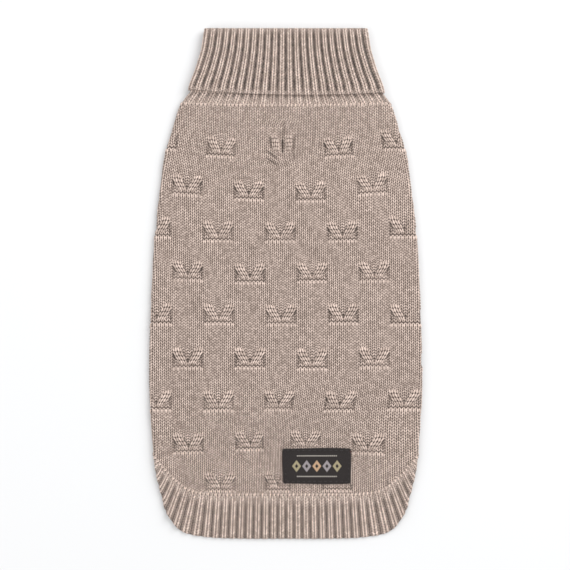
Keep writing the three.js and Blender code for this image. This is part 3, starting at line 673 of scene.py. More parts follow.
def cable_relief(across, level, up, far, lean, row, phase, shown):
    """Height and painted shade of the knitting, from each point's place above its cable's foot and out
    from its middle. Each cable has a row of bumps below a shallow groove painted dark, and purl
    between and beside its strands. The grooves and the strands' outer edges get painted shade, and
    the bumps and purl ridges get painted highlight and painted shade in turn."""
    _, risen = cable_place(across, np.broadcast_to(level, across.shape))
    uneven = 1 + 0.25 * np.sin(across * 1.7 / CABLE_REPEAT + level * 2.3 / CABLE_ROW * 4)
    within = ease((CABLE_HALF + 0.6 - far) / 0.9)
    bumps = within * box_mask(risen, 0.4, 3.3, 0.8)
    line = within * box_mask(risen, 3.4, 4.4, 0.5)
    between = ease((lean - 3.4 - far) / 1.2) * box_mask(up, 6, 17, 3)
    beside = ease((far - lean - 3.7) / 0.8) * within * box_mask(up, 4.4, 12.5, 2)
    outer_line = ease(1.2 - np.abs(far - lean - 4.5) / 0.9) * within * box_mask(up, 8, 13.5, 2.5)
    upright = box_mask(far, CABLE_HALF - 0.6, CABLE_HALF + 0.4, 0.6) * box_mask(up, 1.6, 10, 3)
    corner = within * ease((far - 9.6) / 1.4) * box_mask(up, 4.2, 7, 1.8)
    apex = ease((1.3 - far) / 0.9) * box_mask(up, 6.4, 9.4, 1.2)
    arms = ease(1.2 - np.abs(far - lean + 4.1) / 0.7) * box_mask(up, 8.5, 13, 2.5)

    stitch = STITCH_RELIEF[(row % 2)[:, None], phase[None, :]]
    purl = PURL_RELIEF[(row % 2)[:, None], phase[None, :]]
    bump = np.where(phase == 0, -0.15, 0.75)[None, :]
    relief = stitch + (purl - stitch) * np.maximum(between, beside) * shown
    relief += (bump - relief) * 0.8 * bumps * shown
    dip = 0.4 * np.maximum(between, beside) + 0.7 * line + 0.6 * np.maximum(outer_line, corner)
    relief -= shown * uneven * np.maximum.reduce([dip, 0.4 * upright, 1.1 * apex, 0.5 * arms])
    # Painted shade in the grooves, along the strands' outer edges, at the sides, corners and apex, where
    # shade falls
    dark = np.maximum.reduce([
        0.95 * line, 0.85 * outer_line, 0.6 * corner, 0.6 * upright, 0.95 * apex, 0.65 * arms])
    zigzag = box_mask(risen, 2.2, 3.2, 0.6)
    tooth = (BUMP_SHADE[phase][None, :] * (1 - zigzag) - 0.9 * zigzag) * bumps * (1 - dark)
    ridge = np.where(row % 2 == 0, 0.55, -0.4)[:, None] * np.maximum(between, beside) * (1 - dark)
    return relief, (dark + tooth + ridge) * shown * uneven


def settled(across, hung):
    """Places on the flat cut of rows that hang at given heights, and the panel's edges there.
    Rows beyond an edge settle on it, in a few rounds because the edges are not straight."""
    y = hung
    for _ in range(6):
        out = knit_out(across, y)
        low, high = tail_y(out), neck_y(out)
        y = np.clip(hung, low, high)
    return knit_out(across, y), y, low, high


def line_back(skin, rim, ids, slit, slit_ids):
    """The inside of the back's cloth, and the cut edges between its two faces."""
    inner = scatter(rim, 12, 3)
    inner = inner[np.abs(np.abs(inner[:, 0]) - side_fold(inner[:, 1])[3]) > 12]
    bend_y = np.arange(-134, 146, 7.0)
    bends = [np.stack([side * line, bend_y], axis=-1)
             for line in fold_lines(bend_y) for side in (1, -1)]
    inner = np.concatenate([inner, *bends])
    inner = inner[inside(rim, inner) & ~inside(slit * (1, 1.2) - (0, 0.2 * SLIT_Y), inner)]
    gaps = np.linalg.norm(inner[:, None] - rim[None], axis=-1).min(axis=1)
    inner = inner[gaps > 0.7]
    rim_ids, hole_ids = lay(skin, rim, WALL), lay(skin, slit, WALL)
    all_ids = np.concatenate([rim_ids, hole_ids, lay(skin, inner, WALL)])
    skin.faces += all_ids[fill(rim, inner, [slit])].tolist()
    for outer_ids, inner_ids in ((ids, rim_ids), (slit_ids, hole_ids)):
        skin.wall(np.append(outer_ids, outer_ids[0]), np.append(inner_ids, inner_ids[0]))


def back_panel():
    skin = Skin()
    courses = int(math.ceil((NECK_SIDE_Y - HEM_Y) / COURSE)) + 5
    column = np.arange(-4 * FINE_WALES, 4 * FINE_WALES + 1)
    row = np.arange(0, 2 * courses)

    # The slit for a lead opens between two wales, so the column between them is there twice
    slit_column = int(round((SLIT_X - KNIT_MIDDLE) / WALE)) * 4 + 4 * FINE_WALES
    column = np.insert(column, slit_column, column[slit_column])
    phase = column % 4
    inward = 1 - np.abs(phase - 2) / 2
    wale = column / 4
    level = HEM_Y + row[:, None] * COURSE / 2
    course = level / COURSE - LEG_SLANT * inward[None, :]
    across = np.broadcast_to(wale * WALE, course.shape)
    hung = course * COURSE + cable_sag(across, level)
    out, y, low, high = settled(across, hung)
    at_edge = (hung <= low) | (hung >= high)
    open_by = SLIT_WIDE * np.sqrt(np.clip(1 - ((y - SLIT_Y) / SLIT_LONG) ** 2, 0, 1))
    out[:, slit_column] -= open_by[:, slit_column]
    out[:, slit_column + 1] += open_by[:, slit_column + 1]

    # The purl between a cable's strands is drawn up into small vees
    by_slit = (np.abs(across) < 14) & (np.abs(y - SLIT_Y) < 14)
    side, up = cable_place(across, course * COURSE)
    far = np.abs(side)
    lean = strand_lean(up)
    vee = ease((lean - 2.5 - far) / 1.5) * ease((up - 4) / 3) * ease((24 - up) / 10)
    y = np.where(at_edge | by_slit, y, np.clip(y + 0.38 * far * vee, low, high))
    shown = clear_of_label(out, y)
    relief, painted_shade = cable_relief(across, level, up, far, lean, row, phase, shown * ~by_slit)
    # The creases are dipped, and their troughs get painted shade
    crease_deep, crease_dark = crease_marks(out, y)
    relief -= crease_deep
    painted_shade = np.clip(painted_shade + crease_dark, -0.9, 1)

    # The knitting is pressed flat where the garment rests, and rolls down at its cut edges
    under = turned_under(out, y, 0.35, 0.35)
    relief = relief - under * (0.45 + np.maximum(relief, 0))
    relief = np.where(at_edge, -0.3, relief)
    relief = np.minimum(relief, 4 - 4 * (1 - shown) * 1.02)
    grid = skin.add(on_body(out, y, 0, relief), wale[None, :], course, painted_shade)
    skin.quads(grid[:, : slit_column + 1])
    skin.quads(grid[:, slit_column + 1 :])

    # The underside, where the panel is too flat for more than a few points
    places = np.stack([out, y], axis=-1)
    edges = {}
    for side, end in ((1, -1), (-1, 0)):
        first_out = np.abs(out[[0, -1], end])
        edge = back_edge(side, first_out)
        edges[side] = edge, lay(skin, edge, 0, -0.3)
        rim = np.concatenate([places[::-1, end], edge])
        rim, ids = distinct(rim, np.concatenate([grid[::-1, end], edges[side][1]]))
        inner = scatter(rim, 9, 4)
        ids = np.concatenate([ids, lay(skin, inner, 0, -0.05)])
        skin.faces += ids[fill(rim, inner)].tolist()

    # The cut edge goes once round, and the slit has an edge of its own
    rim = np.concatenate([places[0], edges[1][0], places[-1, ::-1], edges[-1][0][::-1]])
    ids = np.concatenate([grid[0], edges[1][1], grid[-1, ::-1], edges[-1][1][::-1]])
    rim, ids = distinct(rim, ids)
    in_slit = np.flatnonzero(np.abs(y[:, slit_column] - SLIT_Y) < SLIT_LONG)
    rows = np.arange(in_slit[0] - 1, in_slit[-1] + 2)
    up, down = (rows, slit_column + 1), (rows[-2:0:-1], slit_column)
    slit = np.concatenate([places[up], places[down]])
    slit_ids = np.concatenate([grid[up], grid[down]])
    line_back(skin, rim, ids, slit, slit_ids)
    return skin.make("back_cloth", knit_yarn)


back_cloth = back_panel()
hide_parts("back_panel")


# Cable strands: two wales each, crossed in front of the ones beside them, so that they stand
# out of the back and lean away from each other. They are part of the same cloth.
STRAND_ROWS = 17
STRAND_FOOT = 5.0
STRAND_TOP = 20
STRAND_HALF = 4.1
STRAND_ARCH = 1.6
# Painted shade on a strand's side, leg, middle and leg columns; below zero a painted highlight
STRAND_SHADE = np.array([0.2, -0.2, 0.08, -0.2])


def cable_strand(skin, line, across, side):
    columns = np.arange(9)
    phase = columns % 4
    flat = columns / 4 - 1
    share = np.arange(STRAND_ROWS)[:, None] / (STRAND_ROWS - 1)
    by_slit = line == 0 and across == 0
    foot = CABLE_FIRST_Y - line * CABLE_ROW
    length = STRAND_TOP - STRAND_FOOT
    inward = 1 - np.abs(phase - 2) / 2
    up = STRAND_FOOT + length * (share - 0.055 * inward)
    lean = 5.3 + 1.4 * share if by_slit else strand_lean(up)
    half = STRAND_HALF * (0.82 + 0.18 * ease(share / 0.35)) * (0.75 if by_slit else 1)
    place = across + side * (lean + flat * half)
    level = np.broadcast_to(foot + up, place.shape)
    y = level + cable_sag(place, level) + (5.5 if by_slit else 0)
    out = knit_out(place, y)
    seen = np.abs(out) < side_fold(y)[3] + 3
    covered = clear_of_label(out, y) < 0.5
    if not seen.all() or (y < tail_y(out) + 1).any() or covered.mean() > 0.6:
        return
    ends = ease(share / 0.08) * ease((1 - share) / 0.45)
    arch = STRAND_ARCH * np.sqrt(1 - flat**2 * 0.97) - 0.5
    stitch = STITCH_RELIEF[(np.arange(STRAND_ROWS) % 2)[:, None], phase[None, :]]
    lift = (arch + 0.75 * stitch) * ends - 0.45 * (1 - ends)
    lift = np.where(covered, np.minimum(lift, -0.3), lift)
    # Painted shade along the strand's edges and painted highlight on its legs, fading at its ends; its
    # hidden underside gets a flat painted shade
    painted_shade = ends**1.5 * (STRAND_SHADE[phase] + 0.3 * ease((np.abs(flat) - 0.72) / 0.28))
    under_flat = np.array([0.6, -0.6])
    under_place = across + side * (lean[:, :1] + under_flat * half[:, :1])
    under_y = np.broadcast_to(y[:, :1], under_place.shape)
    under = on_body(knit_out(under_place, under_y), under_y, 1.2)
    ring = np.concatenate([on_body(out, y, 0, lift), under], axis=1)
    wales = np.concatenate([side * (2 + flat) + 0 * y, np.zeros(under_y.shape)], axis=1)
    courses = np.concatenate([share * 4.6 - LEG_SLANT * inward, 0 * under_y], axis=1)
    shades = np.concatenate([painted_shade, 0 * under_y + 0.5], axis=1)
    ids = skin.add(ring, wales + line, courses, shades)
    skin.rod(ids)


def cable_strands():
    skin = Skin()
    for line in range(CABLE_ROWS):
        for k in range(-3, 4):
            across = (k + line % 2 / 2) * CABLE_REPEAT
            for side in (1, -1):
                cable_strand(skin, line, across, side)
    return skin.make("cable_strands", knit_yarn)


cables = cable_strands()


# Ribs: a knit wale that stands up beside a purl wale that lies back. Eight columns make one
# rib, from the middle of the purl wale across the knit one.
RIB_AT = np.array([0.0, 0.1, 0.19, 0.33, 0.5, 0.67, 0.81, 0.9])
RIB_HIGH = np.array([-1.15, -0.95, -0.2, 0.8, 0.35, 0.8, -0.2, -0.95])
RIB_INWARD = np.array([0, 0, 0, 0.5, 1, 0.5, 0, 0])
RIB_STITCH = np.array([[0, 0, -0.1, -0.2, -0.15, -0.2, -0.1, 0], [0, 0, 0, 0.2, 0.05, 0.2, 0, 0]])
RIB_WALE = np.array([1.5, 1.75, 2.0, 2.25, 2.5, 2.75, 3.0, 3.25])
# Painted shade in the purl wale's valley, and painted highlight (below zero) on the knit wale's legs
RIB_PAINTED_SHADE = np.array([0.95, 0.82, 0.22, -0.15, 0.25, -0.15, 0.22, 0.82])
UNDER_RIB = 0.5  # how much of the ribs' depth is left where they are pressed on the table


def rib_columns(count):
    """Place, height, inward share, wale and painted shade of each column of count ribs, from 0 to 1."""
    rib = np.repeat(np.arange(count), 8)
    tiled = [np.tile(v, count) for v in (RIB_AT, RIB_HIGH, RIB_INWARD, RIB_WALE, RIB_PAINTED_SHADE)]
    tiled[0] = (rib + tiled[0]) / count
    tiled[3] = tiled[3] + 2 * rib
    return tiled


def band_columns(count):
    """The columns of an open band of ribs, with the far edge of the last."""
    at, *others = rib_columns(count)
    high, inward, wale, painted_shade = (np.append(v, v[0]) for v in others)
    wale[-1] += 2 * count
    return np.append(at, 1), high, inward, wale, painted_shade


def rib_stitches(rows, columns):
    """The stitches' relief over a band's fine rows and columns."""
    return RIB_STITCH[np.arange(rows) % 2][:, np.arange(columns) % 8]


def pressed(ribs, back=1.0):
    """The ribs' height where they lie on the table, never proud of the cloth."""
    return UNDER_RIB * np.minimum(ribs - back, 0)


# The collar is a tube of ribs, linked to the neck and turned down over itself. On the table
# it is four layers: cuff, tube, tube, cuff.
COLLAR_RIBS = 22
SIDE_RIBS = 2  # round each turned side
COLLAR_OUTLINE = [  # y, half width of the turned-down cuff
    (205, 65.2), (198, 66.2), (188, 67.8), (179, 70.3), (169, 73.6), (160, 77.2), (154, 79),
]
CUFF_HIGH = 4 * WALL + 3 * SEAM_GAP
TUBE_LOW = WALL + SEAM_GAP
TUBE_INSET = WALL + SEAM_GAP
FOLD_RADIUS = (CUFF_HIGH / 2 - SEAM_GAP / 2) / 2
SEAM_Y = NECK_SIDE_Y + SEAM_GAP / 2
NECK_EDGE = (SEAM_Y, NECK_DIP, 0)  # y at the sides, dip at the middle, tilt to the right
CUFF_EDGE = (CUFF_SIDE_Y, CUFF_DIP, 1.2)


def collar_half(y):
    return np.where(y > CUFF_SIDE_Y, along(COLLAR_OUTLINE, y), along(BODY_OUTLINE, y))


def collar_columns():
    """Once round the collar: place across the top, side of the turn and its angle."""
    at, high, inward, wale, painted_shade = rib_columns(COLLAR_RIBS)
    turn_at, *turn_rest = rib_columns(SIDE_RIBS)
    ones = np.ones(len(turn_at))
    places = np.concatenate([at, ones, 1 - at, 0 * ones])
    angles = np.concatenate([
        np.zeros(len(at)), math.pi * (turn_at + 0.03), np.full(len(at), math.pi),
        math.pi * (1.03 + turn_at)])
    rest = [np.concatenate([v, w, v[::-1] if i < 2 or i == 3 else v, w])
            for i, (v, w) in enumerate(zip((high, inward, wale, painted_shade), turn_rest))]
    return places, angles, rest


def collar():
    skin = Skin()
    places, angles, (high, inward, wale, painted_shade) = collar_columns()
    across = 2 * places - 1
    under = (1 - np.cos(angles)) / 2

    def rings(edge, share, inset, low, top, ribs, course, lift=0.0, shade=1.0):
        """Rows of points round the collar at heights that may differ from column to column."""
        share, inset, low, top, ribs = (np.asarray(v, float) for v in (share, inset, low, top, ribs))
        edge_y, dip, tilt = edge
        side_y = edge_y + (FOLD_Y - edge_y) * share
        y = side_y - (dip * (1 - across**2) * (1 - under) + tilt * across) * (1 - share)
        radius = (top - low) / 2
        middle = (top + low) / 2
        proud = lift + ribs
        proud = np.where(under > 0.7, pressed(proud, 1.0 * (ribs != 0)), proud)
        turned = (angles > 0) & (angles != math.pi)
        reach = collar_half(y) - inset - radius
        x = across * reach + np.where(turned, np.sin(angles) * (radius + proud), 0)
        z = middle + np.cos(angles) * (radius + proud)
        x, y, z = np.broadcast_arrays(x, y, z)
        return skin.add(np.stack([x, y, z], axis=-1), wale, course, painted_shade * shade * (ribs != 0))

    def knitted(rows, courses, first, chevron=1.0):
        """Course numbers and rib heights of fine rows over a stretch of ribs."""
        row = np.arange(rows)[:, None]
        course = first + row / 2 - LEG_SLANT * inward * chevron
        return course, high + rib_stitches(rows, len(places))

    span = FOLD_Y - CUFF_SIDE_Y
    straight = (span - FOLD_RADIUS) / span
    courses = int(round(straight * span / COURSE))

    # Cuff: from its edge up to the fold
    course, ribs = knitted(2 * courses + 1, courses, 0)
    share = np.clip(course / courses, 0, 1) * straight
    cast_off = ease(1.5 - course / 1.2)
    ribs = ribs * (1 - 0.5 * cast_off) + 0.15 * cast_off
    # Painted shade in the cuff's valleys, less at the cast-off edge and near the fold, and less still over
    # the fold
    cuff = rings(
        CUFF_EDGE, share, 0, 0, CUFF_HIGH, ribs, course, -0.35 * ease(1 - course / 0.9),
        1 - 0.7 * cast_off - 0.5 * ease((share / straight - 0.92) / 0.08))

    # Over the fold and down inside the tube
    angle = np.linspace(0, math.pi, 13)[1:, None]
    y_fold = FOLD_Y - FOLD_RADIUS + FOLD_RADIUS * np.sin(angle)
    share = (y_fold - CUFF_SIDE_Y) / span
    top = CUFF_HIGH - FOLD_RADIUS + FOLD_RADIUS * np.cos(angle)
    inset = (TUBE_INSET + WALL) * ease(angle / (0.65 * math.pi) - 0.54)
    fade = 1 - ease(angle / (0.8 * math.pi))
    fold = rings(
        CUFF_EDGE, share, inset, CUFF_HIGH - top, top, high * fade, courses + angle, 0, 0.4)
    middle = CUFF_HIGH / 2
    peek = (CUFF_SIDE_Y - SEAM_Y) / (FOLD_Y - SEAM_Y)
    bore = np.array([[0.5], [0.97 * peek], [0.5 * peek], [0.0]])
    spread = 1 - np.clip(bore / (0.97 * peek), 0, 1)
    hollow_top = middle + SEAM_GAP / 2 + spread * (NECK_HEIGHT - WALL - middle - SEAM_GAP / 2)
    hollow_low = middle - SEAM_GAP / 2 + spread * (WALL - middle + SEAM_GAP / 2)
    hollow_inset = TUBE_INSET + WALL - spread * TUBE_INSET
    inner = rings(NECK_EDGE, bore, hollow_inset, hollow_low, hollow_top, 0, bore * 20)

    # The neck tube's outer face, from the seam up under the cuff
    tube_courses = 5
    course, ribs = knitted(2 * tube_courses + 1, tube_courses, 0)
    share = np.clip(course / tube_courses, 0, 1) * 0.97 * peek
    rise = share / (0.97 * peek)
    tube_top = NECK_HEIGHT + rise * (CUFF_HIGH - TUBE_LOW - NECK_HEIGHT)
    ribs = ribs * (0.25 + 0.35 * ease(rise / 0.6) - 0.6 * ease((rise - 0.6) / 0.4))
    # More painted shade in the tube's valleys up under the cuff, for the shadow that the cuff casts
    shade = 0.15 + 0.65 * ease((rise - 0.4) / 0.5)
    tube = rings(
        NECK_EDGE, share, TUBE_INSET * rise, TUBE_LOW * rise, tube_top, ribs, course, 0, shade)
    hidden = np.array([[0.5], [1 - 1.2 * FOLD_RADIUS / span]])
    tube_end = rings(NECK_EDGE, hidden, TUBE_INSET, TUBE_LOW, CUFF_HIGH - TUBE_LOW, 0, hidden * 20)

    # The cuff's inner face, back down to its edge
    hidden = np.array([[1 - 1.2 * FOLD_RADIUS / span], [0.5], [0.0]])
    lining = rings(CUFF_EDGE, hidden, WALL, WALL, CUFF_HIGH - WALL, 0, hidden * 20)

    skin.tube(np.concatenate([cuff, fold, inner, tube, tube_end, lining]))
    return skin.make("collar_ribs", rib_yarn)


collar_ribs = collar()
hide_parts("collar")


# The hem band's ribs fan round both corners and go on along the underside. They start from a
# row of purl bumps and end in a firm cast-off edge.
HEM_RIBS = 2 * int(round(hem_run[-1] / 6.3))
HEM_COURSES = 16


def hem_place(run, share):
    """A place on the flat cut, from how far the seam has run and the share towards the rim."""
    shares = np.interp(np.abs(run), hem_run, HEM_SHARES)
    seam = np.stack([np.interp(shares, HEM_SHARES, hem_seam[:, i]) for i in (0, 1)], axis=-1)
    rim = np.stack([np.interp(shares, HEM_SHARES, hem_rim[:, i]) for i in (0, 1)], axis=-1)
    place = seam + (rim - seam) * share[..., None]
    return np.where(run < 0, -1, 1) * place[..., 0], place[..., 1]


def hem_band():
    skin = Skin()
    at, high, inward, wale, painted_shade = band_columns(HEM_RIBS)
    run = (2 * at - 1) * hem_run[-1]
    row = np.arange(2 * HEM_COURSES + 3)[:, None]
    course = row / 2 - LEG_SLANT * inward
    share = np.clip(course / HEM_COURSES, 0, 1)
    out, y = hem_place(run, share)
    under = turned_under(out, y, 0.4, 0.3)
    at_fold = ease((np.abs(out) - side_fold(y)[3] + 3) / 6) * (y > HEM_ROWS[4][3])
    ribs = (high + rib_stitches(len(row), len(run))) * ease((share - 0.05) / 0.2)
    ribs = ribs * (1 - 0.8 * at_fold)
    ribs = ribs - 0.5 * ease((share - 0.985) / 0.015)
    ribs = ribs * (1 - under) + under * pressed(ribs)
    # Painted shade in the rib valleys, fading in from the seam
    shade = 0.75 * painted_shade * ease((share - 0.06) / 0.26)
    outer = skin.add(on_body(out, y, 0, ribs), wale, -course, shade)
    plain = np.array([[0.0], [0.25], [0.5], [0.75], [1.0]])
    out, y = hem_place(run, np.broadcast_to(plain, (len(plain), len(run))))
    inner = skin.add(on_body(out, y, WALL), wale, -plain * HEM_COURSES)
    skin.strip(outer, inner)
    return skin.make("hem_ribs", rib_yarn)


hem_ribs = hem_band()
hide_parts("hem_band")


# The belly panel is a flat piece of the same knitting between the side seams. It lies on the
# table, with a leg hole bitten out of each side.
def belly_half(y):
    return along(BELLY_OUTLINE, y) - SEAM_GAP / 2


def belly_panel():
    skin = Skin()
    tail, top = BELLY_BAND_Y + SEAM_GAP / 2, NECK_SIDE_Y - SEAM_GAP / 2
    hole_x, hole_y = leg_hole_arc(1, LEG_BAND + SEAM_GAP, belly_side=True)
    low, high = np.linspace(tail, hole_y[0], 26)[:-1], np.linspace(hole_y[-1], top, 8)[1:]
    x = np.concatenate([belly_half(low), hole_x, belly_half(high)])
    y = np.concatenate([low, hole_y, high])
    cross = np.linspace(x[-1], -x[-1], 16)[1:-1]
    back = np.linspace(-x[0], x[0], 24)[1:-1]
    rim = np.concatenate([
        np.stack([x, y], axis=-1), np.stack([cross, np.full(len(cross), top)], axis=-1),
        np.stack([-x[::-1], y[::-1]], axis=-1), np.stack([back, np.full(len(back), tail)], axis=-1)])
    inner = scatter(rim, 7, 3)
    places = np.concatenate([rim, inner])
    faces = fill(rim, inner)
    edges = []
    for z, edge_z in ((0.05, 0.4), (WALL, WALL - 0.2)):
        high = np.concatenate([np.full(len(rim), edge_z), np.full(len(inner), z)])
        ids = skin.add(np.column_stack([places, high]), places[:, 0] / WALE, places[:, 1] / COURSE)
        skin.faces += ids[faces].tolist()
        edges.append(np.append(ids[: len(rim)], ids[0]))
    skin.wall(*edges)
    return skin.make("belly_cloth", knit_yarn)


belly_cloth = belly_panel()
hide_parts("belly_panel")


# The belly's own hem is a short straight band of the same ribs, pressed on the table.
BELLY_RIBS = 18


def belly_hem():
    skin = Skin()
    at, high, inward, wale, painted_shade = band_columns(BELLY_RIBS)
    top = BELLY_BAND_Y - SEAM_GAP / 2
    courses = round((top - BELLY_HEM_Y) / COURSE)
    row = np.arange(2 * courses + 3)[:, None]
    course = row / 2 - LEG_SLANT * inward
    share = np.clip(course / courses, 0, 1)
    y = top + (BELLY_HEM_Y - top) * share
    x = (2 * at - 1) * belly_half(y)
    ribs = (high + rib_stitches(len(row), len(at))) * ease(share / 0.1)
    # Painted shade in the rib valleys, fading in from the seam
    shade = 0.8 * painted_shade * ease(share / 0.1)
    outer = skin.add(np.stack([x, y, -pressed(ribs)], axis=-1), wale, -course, shade)
    plain = np.linspace(0, 1, 4)[:, None]
    y = np.broadcast_to(top + (BELLY_HEM_Y - top) * plain, (4, len(at)))
    x = (2 * at - 1) * belly_half(y)
    inner = skin.add(np.stack([x, y, np.full(x.shape, WALL)], axis=-1), wale, -plain * courses)
    skin.strip(outer, inner)
    return skin.make("belly_ribs", rib_yarn)


belly_ribs = belly_hem()
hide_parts("belly_hem")


# Each leg hole has an oval band of ribs, knitted on round it, that runs out from the hole.
LEG_RIBS = 30


def leg_cuff(side, name):
    skin = Skin()
    at, high, inward, wale, painted_shade = rib_columns(LEG_RIBS)
    angle = 2 * math.pi * at
    courses = round(LEG_BAND / COURSE)
    row = np.arange(2 * courses + 3)[:, None]
    course = row / 2 - LEG_SLANT * inward
    share = np.clip(course / courses, 0, 1)

    def ring(share, z, course, painted_shade):
        x = side * (LEG_HOLE_X + (LEG_HALF_WIDE + LEG_BAND * share) * np.cos(angle))
        y = LEG_HOLE_Y + (LEG_HALF_LONG + LEG_BAND * share) * np.sin(angle)
        x, y, z = np.broadcast_arrays(x, y, z)
        return skin.add(np.stack([x, y, z], axis=-1), wale, course, painted_shade)

    cast_off = ease(1.3 - share / 0.12)
    ribs = high + rib_stitches(len(row), len(at))
    ribs = ribs * (1 - 0.7 * cast_off) * ease((1.02 - share) / 0.1)
    # Painted shade in the rib valleys, none at the cast-off edge
    outer = ring(share, -pressed(ribs), course, 0.8 * painted_shade * (1 - cast_off))
    lip = ring(np.zeros((1, 1)) - 0.03, WALL / 2, 0, 0)
    inner = ring(np.array([[0.0], [0.35], [0.7], [1.0]]), WALL, 0, 0)
    skin.tube(np.concatenate([outer[::-1], lip, inner]))
    return skin.make(name, rib_yarn)


for side, name in ((1, "right"), (-1, "left")):
    band = leg_cuff(side, f"leg_ribs_{name}")
    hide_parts(f"leg_cuff_{name}")


# Linking: the collar and the hem band are joined to the back loop by loop, which leaves a row
# of small bumps of the same yarn along each seam.
CHAIN_OFFSETS = np.array([-1.7, -1.1, 0, 1.1, 1.7])
CHAIN_LIFTS = np.array([-0.7, 0.35, 1.0, 0.35, -0.7])


def linking_chain(name, out, y, shift):
    skin = Skin()
    step = np.linalg.norm(np.diff(np.stack([out, y]), axis=1), axis=0)
    run = np.concatenate([[0], np.cumsum(step)])
    loops = int(run[-1] / WALE)
    at = np.linspace(0, run[-1], loops * 6 + 1)
    out, y = np.interp(at, run, out), np.interp(at, run, y)
    ahead = np.stack([np.gradient(out), np.gradient(y)])
    ahead = ahead / np.linalg.norm(ahead, axis=0)
    bead = np.abs(np.sin(np.arange(len(at)) * math.pi / 6)) ** 0.7
    lean = 0.5 * np.sin(np.arange(len(at)) * math.pi / 3)
    rows = []
    for offset, high in zip(CHAIN_OFFSETS, CHAIN_LIFTS):
        off = (offset + shift + lean * (abs(offset) < 1)) * np.ones(len(at))
        side_out, side_y = out - ahead[1] * off, y + ahead[0] * off
        under = turned_under(side_out, side_y, 0.5, 0.3)
        lift = 0.95 * high * (0.35 + 0.65 * bead) - 0.15
        lift = lift * (1 - under) - under * (0.25 + 0.5 * (high < 0))
        # Painted shade between the beads and at the chain's edges, painted highlight on the beads; the
        # hidden underside row gets a flat painted shade
        shade = 0.5 if abs(offset) > 1.5 else 0.6 - 1.1 * bead
        rows.append(skin.add(on_body(side_out, side_y, 0, lift), at / WALE, offset / 2, shade))
    rows.append(skin.add(on_body(out, y, 1.1), at / WALE, 0, 0.5))
    rows = np.array(rows)
    skin.quads(np.concatenate([rows, rows[:1]]))
    skin.faces += [rows[:, 0].tolist(), rows[::-1, -1].tolist()]
    return skin.make(name, knit_yarn)


_, _, neck_turn, neck_start = side_fold(NECK_SIDE_Y)
neck_out = np.linspace(-neck_start - neck_turn, neck_start + neck_turn, 400)
neck_chain = linking_chain("neck_linking", neck_out, neck_y(neck_out), 0.5)
round_hem = np.concatenate([-hem_seam[:0:-1, 0], hem_seam[:, 0]])
hem_chain = linking_chain(
    "hem_linking", round_hem, np.concatenate([hem_seam[:0:-1, 1], hem_seam[:, 1]]), -0.4)


# The label is a black woven patch with folded ends, sewn on by hand near the hem. It carries
# a plain band of woven diamonds.
LABEL_GAP = 0.3
LABEL_THICK = 0.9
LABEL_COLUMNS = 72
LABEL_ROWS = 40


def label_finish():
    finish = Finish("label_weave", roughness=0.62, sheen=0.15, sheen_tint=(0.7, 0.66, 0.64))
    place = finish.node("ShaderNodeUVMap", {"uv_map": "knit"})
    across, along_it, _ = finish.split(place)
    warp = abs((across * 2.6).fraction() * 2 - 1)
    weft = abs((along_it * 3.4 + (across * 2.6).floor() * 0.5).fraction() * 2 - 1)
    thread = finish.noise(place, 2.2, detail=3.0, roughness=0.7)
    ground = finish.mix((thread * 0.7 + warp * 0.2).step(0.2, 0.75), (0.007, 0.005, 0.005),
                        (0.036, 0.027, 0.026))

    # Five diamonds with open middles, in three colours of thread, between two dashed lines
    slot = across * (1 / 8) + 0.5
    reach = abs(slot.fraction() - 0.5) * 2.15 + abs(along_it) * (1 / 5)
    ring = (1 - reach.step(0.9, 1.0)) * reach.step(0.3, 0.42)
    ring = ring * (1 - abs(across).step(19.6, 20.0))
    which = abs(slot.floor())
    peach_or_grey = finish.mix(which.maths("MODULO", 2.0), (0.85, 0.56, 0.34), (0.52, 0.47, 0.49))
    thread_colour = finish.mix(which.step(1.5, 1.9), peach_or_grey, (0.6, 0.52, 0.32))
    bright = finish.mix((thread * 0.8 + weft * 0.3).step(0.2, 0.9), (0.1, 0.08, 0.07), (1, 1, 1))
    dash = (across * 0.62).fraction().step(0.22, 0.32) * (1 - abs(across).step(15.6, 16.0))
    line = (1 - abs(abs(along_it) - 8.2).step(0.35, 0.55)) * dash
    colour = finish.mix(ring, ground, thread_colour)
    colour = finish.mix(line, colour, (0.72, 0.67, 0.6))
    marked = ring.most(line)
    woven = finish.mix(marked * 0.6, colour, bright, "MULTIPLY")
    finish.dress(woven, warp * 0.5 + weft * 0.6 + marked * 0.5, 0.00025)
    return finish.material


label_weave = label_finish()


